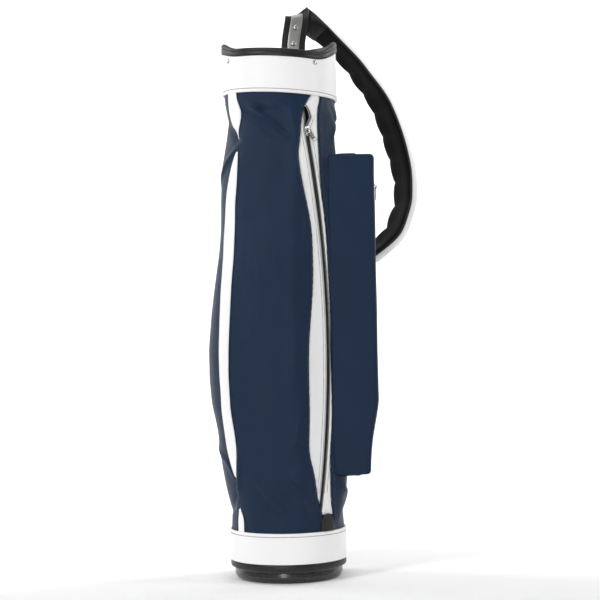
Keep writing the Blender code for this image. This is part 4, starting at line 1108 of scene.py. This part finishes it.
def make_pocket_zip():
    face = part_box("pocket_tape_left")[1].x
    z = np.linspace(POCKET_ZIP_LOW - 1 * MM, POCKET_ZIP_HIGH + 1 * MM, 86)[:, None]
    side, out = np.array((0.0, 1.0, 0.0)), np.array((1.0, 0.0, 0.0))
    for name, sign in (("left", -1), ("right", 1)):
        y = sign * np.linspace(0.6 * MM, 13.2 * MM, 9)[None, :]
        x = face + 0.15 * MM * np.sin(z * 140 + y * 50)
        tape = f"pocket_tape_{name}"
        points = np.stack((x, y + 0 * z, z + 0 * y), -1)
        sheet(tape, points, "black_webbing", 0.7 * MM, (tape,), flip=sign < 0)
        low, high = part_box(f"pocket_chain_{name}")
        places = []
        height = low.z + (0.4 if sign < 0 else 1.15) * MM
        while height < high.z:
            places.append((np.array(((low.x + high.x) / 2, sign * 1.9 * MM, height)), side, UP, out))
            height += COIL_PITCH
        merged_bars(f"pocket_chain_{name}", places, (2.4 * MM, 1.1 * MM, 1.5 * MM), "zip_coil")


# ---------------------------------------------------------------- strap
ROOT_END, STAY_END, COVER_START, PAD_END = 122 * MM, 66 * MM, 124 * MM, 592 * MM
ROOT_WIDTH, STAY_WIDTH, WEBBING_WIDTH = 40 * MM, 19.5 * MM, 38 * MM
SCALLOP = 43 * MM
PLANE = np.array((math.cos(STRAP_PLANE), math.sin(STRAP_PLANE), 0.0))
SIDE = np.array((PLANE[1], -PLANE[0], 0.0))
strap_slope = degrees(STRAP_SLOPE)
strap_twist = degrees(STRAP_TWIST)
pad_width = Curve(PAD_WIDTH)


class Route:
    """Strap's middle line: its place and the ways across it and outwards, at any distance along it."""

    def __init__(self):
        steps = [math.dist(a, b) for a, b in zip(STRAP_PATH, STRAP_PATH[1:])]
        travel = np.concatenate(([0.0], np.cumsum(steps)))
        self.reach, self.height, self.front = (Curve([(t, p[k]) for t, p in zip(travel, STRAP_PATH)])
                                               for k in range(3))
        self.height.slopes[0] = 1.0
        self.reach.slopes[-1] = (STRAP_PATH[-1][0] - STRAP_PATH[-2][0]) / steps[-1]
        self.height.slopes[-1] = (STRAP_PATH[-1][1] - STRAP_PATH[-2][1]) / steps[-1]
        self.length = travel[-1] * MM

    def place(self, s):
        return STRAP_AXIS + self.reach(s)[:, None] * PLANE + self.height(s)[:, None] * UP \
            + self.front(s)[:, None] * SIDE

    def __call__(self, s):
        step = 0.5 * MM
        along = unit(self.place(np.minimum(s + step, self.length)) - self.place(np.maximum(s - step, 0.0)))
        slope, twist = strap_slope(s)[:, None], strap_twist(s)[:, None]
        width = SIDE * np.cos(twist) + (PLANE * np.cos(slope) + UP * np.sin(slope)) * np.sin(twist)
        across = unit(width - along * np.sum(width * along, axis=1, keepdims=True))
        return self.place(s), across, np.cross(across, along)


route = Route()


def strap_loft(name, start, end, width, shape, finish, step=3 * MM):
    """Loft along the strap. shape(s, u) gives the closed section's layers for u across it, both sides."""
    stations = np.linspace(start, end, max(8, int((end - start) / step)))
    u = np.cos(np.linspace(math.pi, 0, 21))
    sections = []
    for s, place, across, outward in zip(stations, *route(stations)):
        half = width(s) / 2
        upper, lower = shape(s, u)
        loop = [place + across * half * v + outward * n for v, n in zip(u, upper)]
        loop += [place + across * half * v + outward * n for v, n in zip(u[::-1][1:-1], lower[::-1][1:-1])]
        sections.append(loop)
    return section_loft(name, sections, finish, "strap", (name,))


def rounded_end(s, start, end, length):
    """1 along the piece, falling like a quarter circle at its two ends."""
    near = np.clip(min(s - start, end - s) / length, 0, 1)
    return math.sqrt(max(1 - (1 - near) ** 2, 0.02))


def cover_shape(s, u):
    """Vinyl cover, creased near the root and fuller over the shoulder."""
    full = (10.4 + 2.6 * ease(260 * MM, 400 * MM, s)) * MM * rounded_end(s, COVER_START, PAD_END, 10 * MM)
    crease = 0.3 * MM * math.sin(s * 190) * bell(s - 160 * MM, 60 * MM)
    top = 0.9 * MM + full * (1 - np.abs(u) ** 9) ** 0.5 + crease * (1 - u**2)
    return top, 0.3 * MM - 0 * u


def scallops(s):
    """Fingers of the pad: 1 on their backs and 0 in the creases between them."""
    return abs(math.sin(math.pi * s / SCALLOP)) ** 0.6 * ease(ROOT_END + 30 * MM, ROOT_END + 60 * MM, s)


def pad_shape(s, u):
    full = 6.4 * MM * rounded_end(s, ROOT_END, PAD_END, 14 * MM)
    inner = -0.9 * MM - full * (1 - np.abs(u) ** 5) ** 0.5 * (0.8 + 0.2 * scallops(s))
    far = 4.6 * MM * ease(0.2, -0.9, u) * (1 - np.abs(u) ** 12)
    return -0.3 * MM + 0 * u, inner - far * scallops(s)


def root_shape(s, u):
    wave = 0.3 * MM * np.sin(s * 160 + 2 * u)
    top = -0.6 * MM - 0.5 * MM * np.abs(u) ** 6
    return top, -6.0 * MM + 1.9 * MM * np.abs(u) ** 5 + wave * (1 - np.abs(u))


def stay_shape(s, u):
    end = rounded_end(s, -20 * MM, STAY_END, 4 * MM)
    return (0.6 + 1.25 * end) * MM - 0.45 * MM * np.abs(u) ** 8, 0.55 * MM + 0 * u


def webbing_shape(s, u):
    edge = 0.55 * MM * np.abs(u) ** 10
    wave = 0.35 * MM * np.sin(s * 60) * u
    return 1.5 * MM - edge + wave, -1.5 * MM + edge + wave


def make_strap():
    strap_loft("strap_root", 0.0, ROOT_END + 8 * MM, lambda s: ROOT_WIDTH, root_shape, "black_vinyl")
    strap_loft("strap_stay", 0.0, STAY_END, lambda s: STAY_WIDTH, stay_shape, "grey_stay")
    cushion = strap_loft("strap_cover", COVER_START - 1 * MM, PAD_END, pad_width, cover_shape, "white_vinyl")
    cushion = strap_loft("strap_pad", ROOT_END + 1 * MM, PAD_END, pad_width, pad_shape, "black_pad",
                         2.5 * MM)
    s = np.arange(ROOT_END - 30 * MM, PAD_END - 4 * MM, 3 * MM)
    place, across, outward = route(s)
    edge = across * (pad_width(s)[:, None] / 2 - 0.8 * MM)
    for name, side in (("strap_binding_near", 1), ("strap_binding_far", -1)):
        tube(name, place + edge * side - outward * 1.2 * MM, 2.0 * MM, "black_vinyl", "strap")
    strap_loft("strap_webbing", PAD_END - 8 * MM, route.length, lambda s: WEBBING_WIDTH, webbing_shape,
               "black_webbing")


def strap_row(start, end, offset, layer, step=2.5 * MM):
    """Path along the strap. offset(s) is its distance from the middle line, layer its height."""
    s = np.arange(start, end, step)
    place, across, outward = route(s)
    return place + across * np.reshape(offset(s), (-1, 1)) + outward * layer, outward


def make_strap_stitches():
    start, end = COVER_START + 8 * MM, PAD_END - 8 * MM
    rows = [strap_row(start, end, lambda s: side * 0.45 * pad_width(s), 4.4 * MM) for side in (-1, 1)]
    stitch_row("cover_stitches", rows, "grey_thread", "strap", 3.2 * MM, 1.1 * MM, 0.35 * MM)
    start, end = 2 * MM, ROOT_END - 2 * MM
    rows = [strap_row(start, end, lambda s: side * 18.6 * MM + 0 * s, -0.75 * MM) for side in (-1, 1)]
    stitch_row("root_stitches", rows, "black_thread", "strap", 3.0 * MM, 1.0 * MM, 0.35 * MM)
    half = 15 * MM
    start, end = route.length - 46 * MM, route.length - 18 * MM
    rows = [strap_row(start, end, lambda s: side * half + 0 * s, 1.6 * MM, 2 * MM) for side in (-1, 1)]
    place, across, outward = route(np.arange(start, end, 2 * MM))
    for a, b in ((0, -1), (-1, 0)):
        line = np.linspace(place[a] - across[a] * half, place[b] + across[b] * half, 16)
        rows.append((line + outward[a] * 1.65 * MM, outward[a]))
    stitch_row("webbing_box_stitch", rows, "black_thread", "strap", 2.6 * MM, 0.8 * MM, 0.35 * MM)


def make_strap_rivets():
    place, _, outward = route(np.linspace(0, STAY_END, 200))
    for name in ("strap_rivet_lower", "strap_rivet_upper"):
        centre = box_middle(name)
        nearest = int(np.argmin(np.linalg.norm(place + outward * 2.6 * MM - centre, axis=1)))
        rivet(name, place[nearest] + outward[nearest] * 1.85 * MM, outward[nearest], 1.8 * MM, "strap")


def make_dring():
    """Half-round ring with a straight bar, corners eased."""
    centre = STRAP_AXIS + UP * 418 * MM
    outline = [(20 * math.cos(t), 18 * math.sin(t)) for t in np.radians(range(-84, 85, 6))]
    outline += [(0.4, 18.0), (0.0, 17.2), (0.0, 9.0), (0.0, 0.0), (0.0, -9.0), (0.0, -17.2), (0.4, -18.0)]
    path = np.array([centre + PLANE * a * MM + UP * b * MM for a, b in outline])
    tube("strap_dring", path, 2.0 * MM, "nickel", "strap", 14, True, ("strap_dring",))


def make_pull_ring():
    """Fine ring at the end of the long zip's pull, where the frame has it."""
    corners = np.array([v.co for v in NODES["main_pull_ring"].data.vertices])
    middle = corners.mean(0)
    _, _, axes = np.linalg.svd(corners - middle)
    radius = np.linalg.norm(corners - middle, axis=1).mean()
    turns = np.linspace(0, math.tau, 40, endpoint=False)[:, None]
    path = middle + radius * (np.cos(turns) * axes[0] + np.sin(turns) * axes[1])
    tube("main_pull_ring", path, 0.58 * MM, "nickel", "main_pull_ring", 10, True, ("main_pull_ring",))


# ---------------------------------------------------------------- inside and small parts
DIVIDER_ARMS = {"left": -66, "right": 42, "rear": 166}
DIVIDER_REACH = 13.5 * MM, 84 * MM
ARM_HALF = 7.2 * MM
TAB_HALF = 20 * MM
TAB_STITCHES = 16 * MM, 786 * MM, 861 * MM
# CAD solids shown as they are: finish, width of the softened edges and the steps across them
DRESSED = {
    "dring_chape": ("black_webbing", 1.2 * MM, 3),
    "dring_patch": ("black_vinyl", 0.8 * MM, 3),
    "base_floor_pad": ("grey_lining", 2.0 * MM, 3),
    "spine_stay": ("stiffener_plastic", 1.0 * MM, 2),
    "apparel_pocket_liner": ("grey_lining", 0.5 * MM, 2),
    "main_slider": ("nickel", 0.4 * MM, 3),
    "pocket_slider": ("nickel", 0.4 * MM, 3),
    "main_pull": ("dark_bronze", 0.3 * MM, 3),
    "pocket_pull": ("dark_bronze", 0.3 * MM, 3),
}


def bowed(share, power):
    """A sine or cosine pushed towards -1 and 1, which makes a circle squarer."""
    return math.copysign(abs(share) ** power, share)


def make_divider():
    low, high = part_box("divider_hub")
    middle, half = (low.z + high.z) / 2, (high.z - low.z) / 2
    profile = [(NEAR_AXIS, low.z)]
    for turn in np.radians(np.linspace(-90, 90, 15)):
        profile.append((9 * MM + 4.8 * MM * math.cos(turn), middle + half * math.sin(turn)))
    hub = turned_piece("divider_hub", profile + [(NEAR_AXIS, high.z)], "grey_lining", steps=48)
    turns = np.linspace(0, math.tau, 24, endpoint=False)
    for side, degrees_round in DIVIDER_ARMS.items():
        angle = math.radians(degrees_round)
        along = np.array((math.sin(angle), -math.cos(angle), 0.0))
        across = np.cross(UP, along)
        sections = []
        for reach in np.linspace(*DIVIDER_REACH, 26):
            width = ARM_HALF * (1 + 0.07 * math.sin(reach * 260))
            sections.append([along * reach + across * width * bowed(math.cos(t), 0.6)
                             + UP * (middle + half * bowed(math.sin(t), 0.35)) for t in turns])
        name = f"divider_arm_{side}"
        section_loft(name, sections, "grey_lining", "bag", (name,))


def make_anchor():
    """Domed tab behind the mouth that the strap's root turns on, with its stitches and rivets."""
    low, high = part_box("strap_anchor_tab")
    x, y = (low.x + high.x) / 2, low.y
    sections = []
    for z in np.linspace(low.z, high.z, 30):
        near = min(min(z - low.z, high.z - z) / (5 * MM), 1)
        full = math.sqrt(max(1 - (1 - near) ** 2, 0.03))
        half, thick = TAB_HALF - 2.5 * MM * (1 - full), 1.2 * MM + 4.7 * MM * (0.45 + 0.55 * full)
        loop = [(x - half, y, z), (x + half, y, z)]
        for v in np.cos(np.linspace(0, math.pi, 15)):
            loop.append((x + half * v, y + thick * (1 - abs(v) ** 6) ** 0.35 * 0.75 + 0.25 * thick, z))
        sections.append(loop)
    section_loft("strap_anchor_tab", sections, "black_vinyl", "bag", ("strap_anchor_tab",))
    side, bottom, top = TAB_STITCHES
    back = y + 5.6 * MM
    loop = ((-side, bottom), (side, bottom), (side, top), (-side, top), (-side, bottom))
    corners = [(x + across, back, z) for across, z in loop]
    stitch_row("anchor_stitches", [(resampled(corners, 2.5 * MM), (0.0, 1.0, 0.0))], "black_thread", "bag")
    for name in ("anchor_rivet_lower", "anchor_rivet_upper"):
        middle = box_middle(name)
        rivet(name, (middle[0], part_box(name)[0].y, middle[2]), (0.0, 1.0, 0.0), 1.7 * MM)


def dress_nodes():
    for node, (finish, width, segments) in DRESSED.items():
        obj = NODES[node]
        obj.data.materials.clear()
        obj.data.materials.append(FINISHES[finish])
        soften(obj, width, segments)


# ---------------------------------------------------------------- studio
# Sweep of white paper, in metres
PAPER_FRONT, PAPER_BEND, PAPER_CURVE, PAPER_TOP, PAPER_HALF = -4.0, 1.2, 1.5, 5.0, 5.0
# Area lights: name, place, target, (width, height), watts
LIGHTS = (
    ("key", (-1.9, -2.0, 2.0), (0.0, 0.0, 0.55), (0.4, 0.7), 33.0),
    ("front_strip", (-0.62, -3.1, 0.6), (0.0, 0.0, 0.4), (0.6, 1.6), 19.0),
    ("right", (2.2, -0.7, 1.3), (0.0, 0.0, 0.5), (0.5, 1.2), 12.0),
    ("left", (-2.2, 0.6, 1.1), (0.0, 0.0, 0.5), (0.5, 1.2), 4.0),
    ("top", (0.0, -0.4, 3.0), (0.0, 0.0, 0.5), (2.0, 2.0), 16.0),
    ("backdrop_left", (-1.6, 0.9, 1.6), (-0.2, 2.6, 0.9), (1.2, 1.2), 34.0),
    ("backdrop_right", (1.6, 0.9, 1.6), (0.2, 2.6, 0.9), (1.2, 1.2), 34.0))


def make_paper():
    outline = [(PAPER_FRONT, 0.0), (PAPER_BEND, 0.0)]
    for turn in np.radians(np.linspace(0, 90, 13)[1:]):
        outline.append((PAPER_BEND + PAPER_CURVE * math.sin(turn), PAPER_CURVE * (1 - math.cos(turn))))
    outline.append((PAPER_BEND + PAPER_CURVE, PAPER_TOP))
    points = [(x, y, CAD_BOX[0].z + z) for y, z in outline for x in (-PAPER_HALF, PAPER_HALF)]
    mesh = bpy.data.meshes.new("studio_floor")
    mesh.from_pydata(points, [], grid_faces(len(outline), 2))
    mesh.shade_smooth()
    paper = Finish("studio_paper", 0.85)
    paper.colour(paper.noise(3.0), (0.95, 0.95, 0.95), (0.97, 0.97, 0.97))
    mesh.materials.append(paper.mat)
    floor = bpy.data.objects.new("studio_floor", mesh)
    bpy.context.scene.collection.objects.link(floor)


def make_lights():
    scene = bpy.context.scene
    scene.world = bpy.data.worlds.new("studio")
    scene.world.use_nodes = True
    background = scene.world.node_tree.nodes["Background"].inputs
    background["Color"].default_value = (1.0, 1.0, 1.0, 1.0)
    background["Strength"].default_value = 0.24
    scene.view_settings.view_transform = "Standard"
    for name, place, target, size, power in LIGHTS:
        data = bpy.data.lights.new(name, "AREA")
        data.shape = "RECTANGLE"
        data.size, data.size_y = size
        data.energy = power
        light = bpy.data.objects.new(name, data)
        light.location = place
        light.visible_camera = False
        light.rotation_euler = (Vector(target) - Vector(place)).to_track_quat("-Z", "Y").to_euler()
        scene.collection.objects.link(light)


def make_camera():
    data = bpy.data.cameras.new("camera")
    data.lens = CAMERA_LENS
    data.sensor_width = 36.0
    data.clip_end = 20.0
    camera = bpy.data.objects.new("camera", data)
    camera.matrix_world = Matrix.Translation(CAMERA_PLACE)
    for angle, axis in ((CAMERA_YAW, "Z"), (90 + CAMERA_PITCH, "X"), (CAMERA_ROLL, "Z")):
        camera.matrix_world = camera.matrix_world @ Matrix.Rotation(math.radians(angle), 4, axis)
    bpy.context.scene.collection.objects.link(camera)
    bpy.context.scene.camera = camera


make_panels()
make_stripe()
make_panel_stitches()
make_tapes()
make_zip_core()
make_chains()
make_end_patch()
make_collar()
make_base()
make_pocket()
make_pocket_stitches()
make_pocket_zip()
make_strap()
make_strap_stitches()
make_strap_rivets()
make_dring()
make_pull_ring()
make_divider()
make_anchor()
dress_nodes()
make_paper()
make_lights()
make_camera()

bpy.context.view_layer.update()
